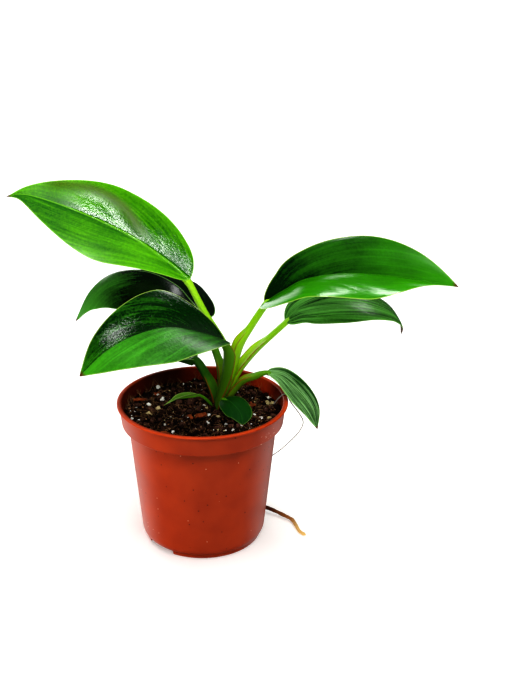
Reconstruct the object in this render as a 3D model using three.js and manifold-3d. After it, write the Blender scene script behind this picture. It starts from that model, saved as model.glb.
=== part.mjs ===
// A young philodendron in a plastic nursery pot: pot, soil, stem, nine leaves and one root.
// Millimetres, +Z up. Everything is placed in the pot's own frame, with the pot's axis at x = y = 0 and its foot at
// z = 0, and the whole group is then shifted so that its origin is under the middle of its bounding box.
import * as THREE from "three";
import { mergeVertices } from "three/addons/utils/BufferGeometryUtils.js";
import Module from "manifold-3d";

const wasm = await Module();
wasm.setup();

// Driving dimensions of the pot, a moulded nursery pot of 12 cm
const POT_HEIGHT = 105;
const POT_RIM_RADIUS = 60.8;
const POT_WALL = 1.3;
const POT_SIDES = 48;
const LIP_HEIGHT = 1.4;
const LIP_ROUND = 0.5;
const BAND_TOP_RADIUS = 59.2;
const BAND_FOOT_RADIUS = 57.5;
const BAND_FOOT_HEIGHT = 89.6;
const WALL_TOP_RADIUS = 53;
const WALL_FOOT_RADIUS = 44.8;
const WALL_SLOPE_FOOT = 6.5;
const CORNER_RISE = 2;
const CORNER_CUT = 1.5;
const FOOT_RADIUS = 42;
const FOOT_HEIGHT = 4;
const FOOT_RING_WIDTH = 1.8;
const FOOT_FLARE = 0.5;
const NOTCH_ANGLES = [45, 225];
const NOTCH_HALF_ANGLE = 17;
const NOTCH_HEIGHT = 3.4;
const DRAIN_RADIUS = 4;
const DRAIN_CIRCLE = 33;
const DRAIN_COUNT = 8;
const DRAIN_SIDES = 10;

// Driving dimensions of the soil, its grains and the gap that every neighbour keeps. The waves of its top are rows of
// height as a share of the bump, rate along x, rate along y and start, in radians and radians a millimetre.
const GAP = 0.35;
const SOIL_TOP = 95.5;
const SOIL_BUMP = 1.3;
const SOIL_WAVES = [
  [0.5, 0.13, 0.11, 0.7], [0.5, 0.13, -0.11, 1.5], [0.6, 0.27, -0.21, 2],
  [0.22, 0.61, -0.57, 4.17], [0.22, 0.61, 0.57, -2.37],
];
const MOUND_HEIGHT = 1.6;
const MOUND_REACH = 12.2;
const SOIL_RINGS = 9;
const SOIL_SPOKES = 40;
const GRAIN_COUNT = 30;
const GRAIN_RADIUS = [0.9, 2.1];
const CHIP_COUNT = 7;
const CHIP_SIZE = [5, 3, 2.2];
const CHIP_TILT = 0.5;
const GRAIN_LIFT = 0.2;
const GRAIN_MARGIN = 4;
const GRAIN_SEED = 11;

// Driving dimensions of the stem and of the root, whose first point is in a drain hole
const CROWN = [14, 13];
const STEM_RADIUS = 3.2;
const STEM_FOOT = 78;
const STEM_TOP = 97;
const STEM_KNOBS = [0.55, 0.9, 1, 0.92, 1, 0.8];
const STEM_SIDES = 14;
const ROOT_RADIUS = [1.35, 0.85];
const ROOT_STEPS = 26;
const ROOT_SIDES = 8;
const ROOT_ROUTE = [
  [23.3, 23.3, 5.1], [23.6, 23.6, 3.4], [25.5, 25.5, 1.9], [30, 27, 1.6], [36, 27.5, 2.2], [41, 26, 3.4],
  [46, 24, 3.8], [52.5, 20, 3.4], [60, 14.5, 2.6], [66, 9.5, 1.9], [69, 1.5, 1.5], [71.5, -6, 1.3], [76, -11, 1.1],
];

// Driving dimensions that all leaves share. A sheath is as thick in its middle as a share of its stalk's radius and
// thins to its margins. A stalk above it is round up to its flanks and has a low flat top. A blade's outline runs
// round its base for the first share of the way, and its side veins leave the rib in an arc.
const BLADE_THICKNESS = 0.7;
const RIB_DEPTH = 1.1;
const RIB_EDGE = 0.12;
const VEIN_SPREAD = 1.9;
const VEIN_BEND = [0.45, 0.5];
const BASE_SHARE = 0.4;
const LOBE_REACH = 1.35;
const LOBE_RISE = 0.35;
const TIP_WIDTH = 0.12;
const JOINT_ALONG = 4;
const JOINT_DROP = 0.6;
const SHEATH_CORE = 0.62;
const SHEATH_EDGE = 0.4;
const SHEATH_THINNING = 1.5;
const SHEATH_FADE = [-0.05, -0.01, 0.03];
const FLANK_ANGLE = 110;
const FLAT_TOP = 0.36;
const FLAT_TOP_BULGE = 0.28;
const FLAT_TOP_WIDTH = 0.98;
const SECTION_POINTS = 6;
const AXIS_STEPS = 16;

// Colour and roughness of everything but the leaves
const FINISHES = {
  pot: { color: 0xa23014, roughness: 0.45 },
  soil: { color: 0x2b1d16, roughness: 0.95 },
  stem: { color: 0x5a4a24, roughness: 0.7 },
  root: { color: 0x8a5a2c, roughness: 0.7 },
};
const LEAF_ROUGHNESS = 0.35;

// A leaf's stalk runs from the soil to its blade and its rib from there to the tip. The side with the minus sign is the
// left one of a blade seen from its stalk, and pairs are for [left, right]. Rows of angles are spread evenly from the
// blade's base to its tip: roll turns the whole blade about its rib, fold lifts a half from the rib and curl bends it
// back down by its margin. The sheath is the flat, clasping lower part of the stalk, and turn twists the stalk's foot.
const LEAVES = [
  {
    name: "leaf_upper_left",
    color: 0x4f9a1e,
    stalk: [[14, 14, 87], [15, 16, 100], [18, 18, 119], [16, 20, 137], [1, 25, 161], [-10, 30, 181]],
    rib: [[-11, 30, 184], [-27, 36, 196], [-55, 46, 212], [-92, 56, 226], [-127, 64, 235], [-145, 68, 233]],
    width: [31.5, 29.6], lobe: [-2, 1], widest: [0.45, 0.48], full: [0.38, 0.74], shoulder: [0.47, 0.4], taper: 0.1,
    roll: [38, 38, 38], fold: [[33, 18, 14], [20, 18, 14]], curl: [16, 24, 10],
    radius: [3, 2.7], sheath: { end: 0.3, arc: [4.5, 4], wrap: 120 }, turn: 0, grid: [14, 4],
  },
  {
    name: "leaf_upper_right",
    color: 0x2f7d16,
    stalk: [[16, 17, 87], [17, 18, 101], [22.5, 20, 126], [28.9, 22, 145], [43, 25, 168]],
    rib: [[43, 25, 170], [57, 26, 179], [73, 28, 187], [103, 32, 190], [144, 36, 186], [182, 38, 179]],
    width: [32.8, 31.5], lobe: [0, 13], widest: [0.55, 0.5], full: [0.3, 0.7], shoulder: [0.55, 0.37], taper: 0.03,
    roll: [-31, -31, -20], fold: [[24, 22, 24], [36, 25, 32]], curl: [20, 22, 5],
    radius: [3.8, 2.8], sheath: { end: 0.7, arc: [8, 7.5], wrap: 170 }, turn: 0, grid: [14, 4],
  },
  {
    name: "leaf_rear_left",
    color: 0x0f3d12,
    stalk: [[11, 18, 87], [12.5, 20, 97], [12, 24, 118], [6.5, 33, 133], [-1, 42, 151]],
    rib: [
      [-2, 43, 152], [-10, 50, 160], [-23, 58, 171], [-45, 68, 177], [-71, 78, 172], [-90, 85, 155], [-103, 88, 129],
    ],
    width: [33, 31], lobe: [4, 8], widest: [0.48, 0.48], full: [0.8, 0.9], shoulder: [0.5, 0.56], taper: 0.05,
    roll: [0, 0, 0], fold: [[0, -15, -34], [1, -18, -25]], curl: [30, 40, 10],
    radius: [3.2, 2.6], sheath: { end: 0.5, arc: [6, 5.5], wrap: 140 }, turn: 0, grid: [14, 4],
  },
  {
    name: "leaf_front_left",
    color: 0x14501a,
    stalk: [[12, 8, 87], [11.5, 8.5, 101], [15.8, 6, 124], [17, 5, 140], [16, 4, 146]],
    rib: [[16, 4, 149], [2, -4, 157], [-20, -16, 166], [-40, -28, 166], [-60, -40, 159], [-78, -50, 144]],
    width: [31.5, 29.5], lobe: [4, -7], widest: [0.47, 0.4], full: [0.62, 0.1], shoulder: [0.5, 0.27], taper: 0.03,
    roll: [33, 33, 30], fold: [[40, 22, 8], [30, 24, 16]], curl: [25, 30, 20],
    radius: [3.8, 3.2], sheath: { end: 0.8, arc: [10.2, 9.8], wrap: 140 }, turn: 65, grid: [14, 4],
  },
  {
    name: "leaf_rear_right",
    color: 0x1d5220,
    stalk: [[18, 14.5, 87], [18, 16, 101], [25, 20, 118.6], [40.5, 32, 134.1], [58, 40, 148.8]],
    rib: [
      [58, 40, 150], [69, 46, 158], [91, 54, 162], [115, 62, 159], [136, 68, 149.5], [146.5, 70, 138], [147, 70, 129],
    ],
    width: [23, 23.5], lobe: [-3, 2], widest: [0.5, 0.4], full: [0.55, 0.7], shoulder: [0.55, 0.42], taper: 0.01,
    roll: [-14, -14, -10], fold: [[5, 5, 0], [3, 3, 2]], curl: [20, 28, 20],
    radius: [3.1, 2.4], sheath: { end: 0.74, arc: [6.2, 5.4], wrap: 150 }, turn: 0, grid: [14, 4],
  },
  {
    name: "leaf_low_left",
    color: 0x1f4a1a,
    stalk: [[8, 14, 87], [8.5, 14, 98], [3.4, 18, 112], [-1.8, 23, 120], [-7, 28, 124]],
    rib: [[-7, 28, 124], [-20, 34, 122], [-41, 42, 116], [-66, 50, 108]],
    width: [13, 13], lobe: [3, 3], widest: [0.45, 0.45], full: [0.85, 0.85], shoulder: [0.45, 0.45], taper: 0.1,
    roll: [2, 2, 2], fold: [[22, 22, 12], [22, 22, 12]], curl: [10, 15, 10],
    radius: [3.7, 3.2], sheath: { end: 0.6, arc: [5.5, 5], wrap: 120 }, turn: 0, grid: [11, 3],
  },
  {
    name: "leaf_right",
    color: 0x275c24,
    stalk: [[18, 10, 87], [18.5, 11, 100], [26, 11, 112.5], [36, 10, 119.5], [45, 8, 123.5]],
    rib: [[46, 8, 124], [57, 6, 120.6], [68.3, 2, 110.6], [77.2, -2, 99.3], [82, -4, 84.8]],
    width: [10.3, 9], lobe: [1, 1], widest: [0.5, 0.5], full: [0.8, 0.6], shoulder: [0.45, 0.45], taper: 0.03,
    roll: [-25, -35, -40], fold: [[0, 0, 0], [0, 0, 0]], curl: [10, 10, 10],
    radius: [3.3, 3], sheath: { end: 0.72, arc: [6, 5.5], wrap: 120 }, turn: 0, grid: [11, 3],
  },
  {
    name: "leaf_front",
    color: 0x164a1a,
    stalk: [[14, 4.5, 87], [14, 4.5, 99], [14, 2, 104], [14, 0, 106]],
    rib: [[15.5, 0, 106], [21.5, -8, 106], [27.5, -17, 102], [29, -25.5, 97.5]],
    width: [10, 10], lobe: [1, 1], widest: [0.48, 0.48], full: [0.9, 0.9], shoulder: [0.6, 0.6], taper: 0.05,
    roll: [-10, -10, -10], fold: [[5, 5, 5], [5, 5, 5]], curl: [20, 20, 10],
    radius: [1.6, 1.3], sheath: { end: 0.4, arc: [2.5, 2.5], wrap: 90 }, turn: 0, grid: [9, 3],
  },
  {
    name: "leaf_soil_left",
    color: 0x6f9a2c,
    stalk: [[6, 6, 87], [6, 6, 97], [3, 4, 103], [-2, 1, 108]],
    rib: [[-3, 1, 108], [-10, -4, 110], [-18, -8, 109], [-27, -13, 106]],
    width: [4.5, 4.5], lobe: [0.5, 0.5], widest: [0.45, 0.45], full: [0.75, 0.75], shoulder: [0.45, 0.45], taper: 0.3,
    roll: [-10, -10, -10], fold: [[25, 25, 15], [25, 25, 15]], curl: [10, 10, 10],
    radius: [1.3, 1.1], sheath: { end: 0.4, arc: [2, 2], wrap: 90 }, turn: 0, grid: [8, 2],
  },
];

const degrees = THREE.MathUtils.degToRad;
const lerp = THREE.MathUtils.lerp;
const smooth = THREE.MathUtils.smoothstep;
const flatPoint = (x, y) => new THREE.Vector2(x, y);

// Value at x, 0 to 1, of a row of numbers spread evenly over that range, with soft steps between them.
function ramp(row, x) {
  const place = THREE.MathUtils.clamp(x, 0, 1) * (row.length - 1);
  const index = Math.min(Math.floor(place), row.length - 2);
  return lerp(row[index], row[index + 1], smooth(place - index, 0, 1));
}

// Repeatable draws from 0 to 1.
function drawsFrom(seed) {
  let state = seed;
  return () => {
    state = (state * 1664525 + 1013904223) % 4294967296;
    return state / 4294967296;
  };
}

// Solid from a closed three.js geometry.
function solid(geometry) {
  const bare = new THREE.BufferGeometry();
  bare.setAttribute("position", geometry.getAttribute("position"));
  bare.setIndex(geometry.index);
  const merged = mergeVertices(bare, 1e-4);
  return new wasm.Manifold(
    new wasm.Mesh({
      numProp: 3,
      vertProperties: merged.attributes.position.array,
      triVerts: new Uint32Array(merged.index.array),
    }),
  );
}

// Solid from rows of points and triangles of their numbers.
function solidOf(points, triangles) {
  const geometry = new THREE.BufferGeometry();
  geometry.setAttribute("position", new THREE.Float32BufferAttribute(points.flatMap((p) => p.toArray()), 3));
  geometry.setIndex(triangles.flat());
  return solid(geometry);
}

// The same, with every triangle turned round where the rows were listed the other way.
function facingOut(points, triangles) {
  const made = solidOf(points, triangles);
  return made.volume() > 0 ? made : solidOf(points, triangles.map(([a, b, c]) => [a, c, b]));
}

function largest(body) {
  return body.decompose().sort((a, b) => b.volume() - a.volume())[0];
}

function mesh(name, body, color, roughness) {
  const { vertProperties, triVerts } = body.getMesh();
  const geometry = new THREE.BufferGeometry();
  geometry.setAttribute("position", new THREE.Float32BufferAttribute(vertProperties, 3));
  geometry.setIndex([...triVerts]);
  geometry.computeVertexNormals();
  const made = new THREE.Mesh(geometry, new THREE.MeshStandardMaterial({ color, roughness, metalness: 0 }));
  made.name = name;
  return made;
}

// The frame turned about its tangent.
function rolled(frame, angle) {
  return {
    across: frame.side.clone().multiplyScalar(Math.cos(angle)).addScaledVector(frame.normal, Math.sin(angle)),
    up: frame.normal.clone().multiplyScalar(Math.cos(angle)).addScaledVector(frame.side, -Math.sin(angle)),
  };
}

// A smooth line through points, with a frame that turns as little as it can. The frame is upright at the anchor.
class Axis {
  constructor(points, anchor = 0) {
    const curve = new THREE.CatmullRomCurve3(points.map((p) => new THREE.Vector3(...p)), false, "catmullrom", 0.5);
    const steps = (points.length - 1) * AXIS_STEPS;
    this.points = curve.getPoints(steps);
    this.lengths = [0];
    for (let i = 1; i <= steps; i++) {
      this.lengths.push(this.lengths[i - 1] + this.points[i].distanceTo(this.points[i - 1]));
    }
    this.length = this.lengths[steps];
    this.tangents = this.points.map((_, i) =>
      this.points[Math.min(i + 1, steps)].clone().sub(this.points[Math.max(i - 1, 0)]).normalize(),
    );
    const start = anchor * AXIS_STEPS;
    const side = this.tangents[start].clone().cross(new THREE.Vector3(0, 0, 1)).normalize();
    this.normals = [];
    this.normals[start] = side.cross(this.tangents[start]);
    for (let i = start + 1; i <= steps; i++) this.normals[i] = this.carried(i - 1, i);
    for (let i = start - 1; i >= 0; i--) this.normals[i] = this.carried(i + 1, i);
  }

  carried(from, to) {
    const turn = new THREE.Quaternion().setFromUnitVectors(this.tangents[from], this.tangents[to]);
    return this.normals[from].clone().applyQuaternion(turn);
  }

  // Point and frame at a distance along the line, straight on past its ends.
  at(distance) {
    const inside = THREE.MathUtils.clamp(distance, 0, this.length);
    let i = 0;
    while (i < this.lengths.length - 2 && this.lengths[i + 1] <= inside) i++;
    const share = (inside - this.lengths[i]) / (this.lengths[i + 1] - this.lengths[i]);
    const tangent = this.tangents[i].clone().lerp(this.tangents[i + 1], share).normalize();
    const normal = this.normals[i].clone().lerp(this.normals[i + 1], share).normalize();
    const point = this.points[i].clone().lerp(this.points[i + 1], share);
    point.addScaledVector(tangent, distance - inside);
    return { point, tangent, normal, side: tangent.clone().cross(normal) };
  }
}

// Closed tube through frames, whose section at step i is a ring of [side, normal] pairs.
function sweep(frames, sectionAt) {
  const rings = frames.map((_, i) => sectionAt(i));
  const points = frames.flatMap((frame, i) =>
    rings[i].map(([s, n]) => frame.point.clone().addScaledVector(frame.side, s).addScaledVector(frame.normal, n)),
  );
  const count = rings[0].length;
  const triangles = [];
  for (let i = 0; i + 1 < rings.length; i++) {
    for (let k = 0; k < count; k++) {
      const a = i * count + k;
      const b = i * count + ((k + 1) % count);
      triangles.push([a, b, b + count], [a, b + count, a + count]);
    }
  }
  const cap = (ring) => THREE.ShapeUtils.triangulateShape(ring.map(([s, n]) => flatPoint(s, n)), []);
  const last = (rings.length - 1) * count;
  for (const [a, b, c] of cap(rings[0])) triangles.push([a, c, b]);
  for (const [a, b, c] of cap(rings[rings.length - 1])) triangles.push([last + a, last + b, last + c]);
  return facingOut(points, triangles);
}

// Section of a stalk at a share of its length: a crescent in the sheath, a round with a flat top above it.
function stalkSection(leaf, share, grow) {
  const { end, arc, wrap } = leaf.sheath;
  const above = smooth(share, end + SHEATH_FADE[0], end + SHEATH_FADE[2]);
  const half = degrees(wrap) / 2;
  const bend = lerp(arc[0], arc[1], Math.min(share / end, 1)) / half;
  const round = lerp(leaf.radius[0], leaf.radius[1], share) + grow;
  const core = leaf.radius[0] * SHEATH_CORE + grow;
  const flank = degrees(FLANK_ANGLE);
  const outer = [];
  const inner = [];
  for (let k = 0; k < SECTION_POINTS; k++) {
    const v = (2 * k) / (SECTION_POINTS - 1) - 1;
    const angle = v * (half + grow / bend);
    const thick = lerp(core, SHEATH_EDGE + grow, Math.abs(v) ** SHEATH_THINNING);
    const onArc = (radius) => [Math.sin(angle) * radius, bend - Math.cos(angle) * radius];
    const under = [round * Math.sin(flank * v), -round * Math.cos(flank * v)];
    const top = [round * Math.sin(flank) * v * FLAT_TOP_WIDTH, round * (FLAT_TOP + FLAT_TOP_BULGE * (1 - v * v))];
    const between = (a, b) => [lerp(a[0], b[0], above), lerp(a[1], b[1], above)];
    outer.push(between(onArc(bend + thick), under));
    inner.unshift(between(onArc(bend - thick), top));
  }
  return [...outer, ...inner];
}

function stalkSolid(leaf, grow = 0) {
  const { end } = leaf.sheath;
  const [fadeStart, fadeMiddle, fadeEnd] = SHEATH_FADE.map((share) => end + share);
  const below = Math.max(4, Math.round(leaf.stalk.length * end * 2));
  const over = Math.max(3, Math.round(leaf.stalk.length * (1 - end) * 2));
  const shares = [];
  for (let i = 0; i < below; i++) shares.push((i / below) * fadeStart);
  shares.push(fadeStart, fadeMiddle, fadeEnd);
  for (let i = 1; i <= over; i++) shares.push(lerp(fadeEnd, 1, i / over));
  const frames = shares.map((share) => {
    const frame = leaf.stem.at(share * leaf.stem.length);
    const { across, up } = rolled(frame, degrees(leaf.turn) * (1 - smooth(share, 0, 1)));
    return { point: frame.point, side: across, normal: up };
  });
  return sweep(frames, (i) => stalkSection(leaf, shares[i], grow));
}

// Outline of one half of the flat blade, s from 0 at the stalk round the lobe to 1 at the tip.
function margin(leaf, side, s) {
  const hand = side < 0 ? 0 : 1;
  const length = leaf.axis.length;
  const width = leaf.width[hand];
  const widest = leaf.widest[hand] * length;
  if (s < BASE_SHARE) {
    const lobe = flatPoint(-LOBE_REACH * leaf.lobe[hand], LOBE_RISE * width);
    const belly = flatPoint(widest * (1 - leaf.full[hand]), width);
    const base = new THREE.CubicBezierCurve(flatPoint(0, 0), lobe, belly, flatPoint(widest, width));
    return base.getPoint(s / BASE_SHARE);
  }
  const shoulder = flatPoint(widest + leaf.shoulder[hand] * (length - widest), width);
  const point = flatPoint(length * (1 - leaf.taper), TIP_WIDTH * width);
  const tip = new THREE.CubicBezierCurve(flatPoint(widest, width), shoulder, point, flatPoint(length, 0));
  return tip.getPoint((s - BASE_SHARE) / (1 - BASE_SHARE));
}

// Point of the flat blade on side vein s, t from 0 at the rib to 1 at the margin.
function onVein(leaf, side, s, t) {
  const end = margin(leaf, side, s);
  const start = leaf.axis.length * s ** VEIN_SPREAD;
  const middle = flatPoint(lerp(start, end.x, VEIN_BEND[0]), end.y * VEIN_BEND[1]);
  return new THREE.QuadraticBezierCurve(flatPoint(start, 0), middle, end).getPoint(t);
}

// Blade point in space and the direction out of its upper face.
function onBlade(leaf, side, flat) {
  const hand = side < 0 ? 0 : 1;
  const share = flat.x / leaf.axis.length;
  const frame = leaf.axis.at(flat.x);
  const { across, up } = rolled(frame, degrees(ramp(leaf.roll, share)));
  const fold = degrees(ramp(leaf.fold[hand], share));
  const bend = degrees(ramp(leaf.curl, share)) / leaf.width[hand];
  const angle = fold - bend * flat.y;
  const out = (Math.sin(fold) - Math.sin(angle)) / bend;
  const lift = (Math.cos(angle) - Math.cos(fold)) / bend;
  const face = flat.y > 0 ? angle : 0;
  return {
    point: frame.point.addScaledVector(across, side * out).addScaledVector(up, lift),
    up: up.clone().multiplyScalar(Math.cos(face)).addScaledVector(across, -side * Math.sin(face)),
  };
}

// The blade as one thin body with the same triangles on both faces. Its midrib stands out below as a ridge, which
// starts as deep as the stalk and thins towards the tip.
function bladeSolid(leaf) {
  const [along, across] = leaf.grid;
  const points = [];
  const triangles = [];
  const numbers = new Map();
  const corner = (side, i, k) => {
    const onRib = k === 0 || i === 0 || i === along;
    const key = onRib ? `rib ${i}` : `${side} ${i} ${k}`;
    if (!numbers.has(key)) {
      const t = k === 1 ? RIB_EDGE : (k - 1) / (across - 1);
      const start = leaf.axis.length * (i / along) ** VEIN_SPREAD;
      const flat = onRib ? flatPoint(start, 0) : onVein(leaf, side, i / along, t);
      const { point, up } = onBlade(leaf, side, flat);
      const ridge = onRib ? RIB_DEPTH * leaf.radius[1] * (1 - i / along) : 0;
      numbers.set(key, points.length);
      points.push(point.clone().addScaledVector(up, BLADE_THICKNESS / 2));
      points.push(point.clone().addScaledVector(up, -BLADE_THICKNESS / 2 - ridge));
    }
    return numbers.get(key);
  };
  const pair = (side, a, b, c) => {
    if (a === b || b === c || c === a) return;
    const [p, q] = side > 0 ? [c, b] : [b, c];
    triangles.push([a, p, q], [a + 1, q + 1, p + 1]);
  };
  for (const side of [-1, 1]) {
    for (let i = 0; i < along; i++) {
      for (let k = 0; k < across; k++) {
        const [a, b] = [corner(side, i, k), corner(side, i + 1, k)];
        const [c, d] = [corner(side, i + 1, k + 1), corner(side, i, k + 1)];
        pair(side, a, c, b);
        pair(side, a, d, c);
      }
      const [a, b] = [corner(side, i, across), corner(side, i + 1, across)];
      triangles.push(...(side > 0 ? [[a, b, b + 1], [a, b + 1, a + 1]] : [[a, b + 1, b], [a, a + 1, b + 1]]));
    }
  }
  return facingOut(points, triangles);
}

// Leaves, from the innermost outwards: each one leaves room for the stalks inside it.
function makeLeaves(stem) {
  const taken = [stem];
  return LEAVES.map((leaf) => {
    leaf.axis = new Axis(leaf.rib);
    const { up } = rolled(leaf.axis.at(0), degrees(leaf.roll[0]));
    const joint = leaf.axis.at(JOINT_ALONG).point.addScaledVector(up, -leaf.radius[1] * JOINT_DROP);
    leaf.stem = new Axis([...leaf.stalk, joint.toArray()], leaf.stalk.length - 1);
    const clear = (body) => largest(taken.reduce((left, other) => left.subtract(other), body));
    const body = largest(clear(stalkSolid(leaf)).add(clear(bladeSolid(leaf))));
    taken.push(stalkSolid(leaf, GAP));
    return { leaf, body };
  });
}

// Body turned from a profile of [radius, height].
function turned(profile, sides) {
  const geometry = new THREE.LatheGeometry(profile.map(([r, z]) => flatPoint(r, z)), sides);
  geometry.rotateX(Math.PI / 2);
  const made = solid(geometry);
  if (made.volume() > 0) return made;
  geometry.setIndex([...geometry.index.array].reverse());
  return solid(geometry);
}

// How much the pot's wall widens for each millimetre of height.
const WALL_SLOPE = (WALL_TOP_RADIUS - WALL_FOOT_RADIUS) / (BAND_FOOT_HEIGHT - WALL_SLOPE_FOOT);

function potSolid() {
  const floor = FOOT_HEIGHT + POT_WALL;
  const corner = floor + CORNER_RISE;
  const shelf = BAND_FOOT_HEIGHT + POT_WALL;
  const lipFoot = POT_HEIGHT - LIP_HEIGHT;
  const lipInside = BAND_TOP_RADIUS - POT_WALL;
  let pot = turned([
    [0, FOOT_HEIGHT],
    [FOOT_RADIUS - FOOT_RING_WIDTH, FOOT_HEIGHT],
    [FOOT_RADIUS - FOOT_RING_WIDTH, 0],
    [FOOT_RADIUS, 0],
    [FOOT_RADIUS + FOOT_FLARE, FOOT_HEIGHT - 2 * FOOT_FLARE],
    [WALL_FOOT_RADIUS - 2 * FOOT_FLARE, FOOT_HEIGHT],
    [WALL_FOOT_RADIUS, WALL_SLOPE_FOOT],
    [WALL_TOP_RADIUS, BAND_FOOT_HEIGHT],
    [BAND_FOOT_RADIUS, BAND_FOOT_HEIGHT],
    [BAND_TOP_RADIUS, lipFoot],
    [POT_RIM_RADIUS - LIP_ROUND, lipFoot],
    [POT_RIM_RADIUS, lipFoot + LIP_ROUND / 2],
    [POT_RIM_RADIUS, POT_HEIGHT - LIP_ROUND],
    [POT_RIM_RADIUS - LIP_ROUND, POT_HEIGHT],
    [lipInside + LIP_ROUND, POT_HEIGHT],
    [lipInside, POT_HEIGHT - LIP_ROUND],
    [BAND_FOOT_RADIUS - POT_WALL, shelf],
    [WALL_TOP_RADIUS - POT_WALL, shelf],
    [WALL_FOOT_RADIUS - POT_WALL + WALL_SLOPE * (corner - WALL_SLOPE_FOOT), corner],
    [WALL_FOOT_RADIUS - POT_WALL - CORNER_CUT, floor],
    [0, floor],
  ], POT_SIDES);
  for (let i = 0; i <= DRAIN_COUNT; i++) {
    const angle = degrees(NOTCH_ANGLES[0] + (i * 360) / DRAIN_COUNT);
    const circle = i < DRAIN_COUNT ? DRAIN_CIRCLE : 0;
    const drain = new THREE.CylinderGeometry(DRAIN_RADIUS, DRAIN_RADIUS, 4 * POT_WALL, DRAIN_SIDES);
    drain.rotateX(Math.PI / 2).translate(circle * Math.cos(angle), circle * Math.sin(angle), FOOT_HEIGHT);
    pot = pot.subtract(solid(drain));
  }
  for (const middle of NOTCH_ANGLES) {
    const width = 2 * FOOT_RADIUS * Math.sin(degrees(NOTCH_HALF_ANGLE));
    const block = new THREE.BoxGeometry(3 * FOOT_RING_WIDTH, width, 2 * NOTCH_HEIGHT);
    block.translate(FOOT_RADIUS - FOOT_RING_WIDTH / 2, 0, 0).rotateZ(degrees(middle));
    pot = pot.subtract(solid(block));
  }
  return pot;
}

// Height of the soil's top: crossing waves, with a low mound round the crown.
function soilHeight(x, y) {
  const waves = SOIL_WAVES.map(([share, alongX, alongY, start]) => share * Math.sin(alongX * x + alongY * y + start));
  const away = Math.hypot(x - CROWN[0], y - CROWN[1]) / MOUND_REACH;
  return SOIL_TOP + SOIL_BUMP * waves.reduce((sum, wave) => sum + wave, 0) + MOUND_HEIGHT * Math.exp(-(away ** 2));
}

// The soil, which keeps a gap to the pot and to the pieces that it is cut by.
function soilSolid(pieces) {
  const side = POT_WALL + GAP;
  const floor = FOOT_HEIGHT + side;
  const corner = floor + CORNER_RISE;
  const shelf = BAND_FOOT_HEIGHT + side;
  const edge = BAND_FOOT_RADIUS - side;
  const profile = [
    [WALL_FOOT_RADIUS - side - CORNER_CUT, floor],
    [WALL_FOOT_RADIUS - side + WALL_SLOPE * (corner - WALL_SLOPE_FOOT), corner],
    [WALL_TOP_RADIUS - side, shelf],
    [edge, shelf],
  ];
  const points = [new THREE.Vector3(0, 0, floor)];
  const triangles = [];
  const ringAt = (radius, heightAt) => {
    const start = points.length;
    for (let k = 0; k < SOIL_SPOKES; k++) {
      const angle = (2 * Math.PI * k) / SOIL_SPOKES;
      const x = radius * Math.cos(angle);
      const y = radius * Math.sin(angle);
      points.push(new THREE.Vector3(x, y, heightAt(x, y)));
    }
    return start;
  };
  const rings = profile.map(([radius, height]) => ringAt(radius, () => height));
  for (let i = 0; i < SOIL_RINGS; i++) rings.push(ringAt(edge * (1 - i / SOIL_RINGS), soilHeight));
  const last = points.push(new THREE.Vector3(0, 0, soilHeight(0, 0))) - 1;
  for (let k = 0; k < SOIL_SPOKES; k++) {
    const next = (k + 1) % SOIL_SPOKES;
    triangles.push([0, rings[0] + next, rings[0] + k]);
    for (let i = 0; i + 1 < rings.length; i++) {
      const [a, b, c, d] = [rings[i] + k, rings[i] + next, rings[i + 1] + next, rings[i + 1] + k];
      triangles.push([a, b, c], [a, c, d]);
    }
    triangles.push([rings[rings.length - 1] + k, rings[rings.length - 1] + next, last]);
  }
  let soil = solidOf(points, triangles);
  const draw = drawsFrom(GRAIN_SEED);
  for (let i = 0; i < GRAIN_COUNT + CHIP_COUNT; i++) {
    const radius = (edge - GRAIN_MARGIN) * Math.sqrt(draw());
    const angle = 2 * Math.PI * draw();
    const [x, y] = [radius * Math.cos(angle), radius * Math.sin(angle)];
    const grain = i < GRAIN_COUNT
      ? new THREE.OctahedronGeometry(lerp(...GRAIN_RADIUS, draw()))
      : new THREE.BoxGeometry(...CHIP_SIZE).rotateX(CHIP_TILT * draw());
    grain.rotateZ(2 * Math.PI * draw()).translate(x, y, soilHeight(x, y) + GRAIN_LIFT);
    soil = soil.add(solid(grain));
  }
  for (const piece of pieces) soil = soil.subtract(piece);
  return largest(soil);
}

// The stem is a short knobbly body in the soil that every stalk grows from.
function stemSolid(grow = 0) {
  const knobs = STEM_KNOBS.map((share, i) => [
    share * STEM_RADIUS + grow, lerp(STEM_FOOT, STEM_TOP, i / (STEM_KNOBS.length - 1)),
  ]);
  return turned([[0, STEM_FOOT - grow], ...knobs, [0, STEM_TOP + grow]], STEM_SIDES).translate([...CROWN, 0]);
}

// One root leaves by a drain hole, passes the notch in the foot ring and lies beside the pot.
function rootSolid() {
  const axis = new Axis(ROOT_ROUTE, 3);
  const frames = Array.from({ length: ROOT_STEPS + 1 }, (_, i) => axis.at((axis.length * i) / ROOT_STEPS));
  return sweep(frames, (i) => {
    const radius = lerp(...ROOT_RADIUS, (i / ROOT_STEPS) ** 2);
    return Array.from({ length: ROOT_SIDES }, (_, k) => {
      const angle = (2 * Math.PI * k) / ROOT_SIDES;
      return [radius * Math.cos(angle), radius * Math.sin(angle)];
    });
  });
}

const plant = new THREE.Group();
const leaves = makeLeaves(stemSolid(GAP));
const holes = [stemSolid(GAP), ...LEAVES.map((leaf) => stalkSolid(leaf, GAP))];
const bodies = { pot: potSolid(), soil: soilSolid(holes), stem: stemSolid(), root: rootSolid() };
for (const [name, body] of Object.entries(bodies)) {
  plant.add(mesh(name, body, FINISHES[name].color, FINISHES[name].roughness));
}
for (const { leaf, body } of leaves) plant.add(mesh(leaf.name, body, leaf.color, LEAF_ROUGHNESS));

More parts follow.
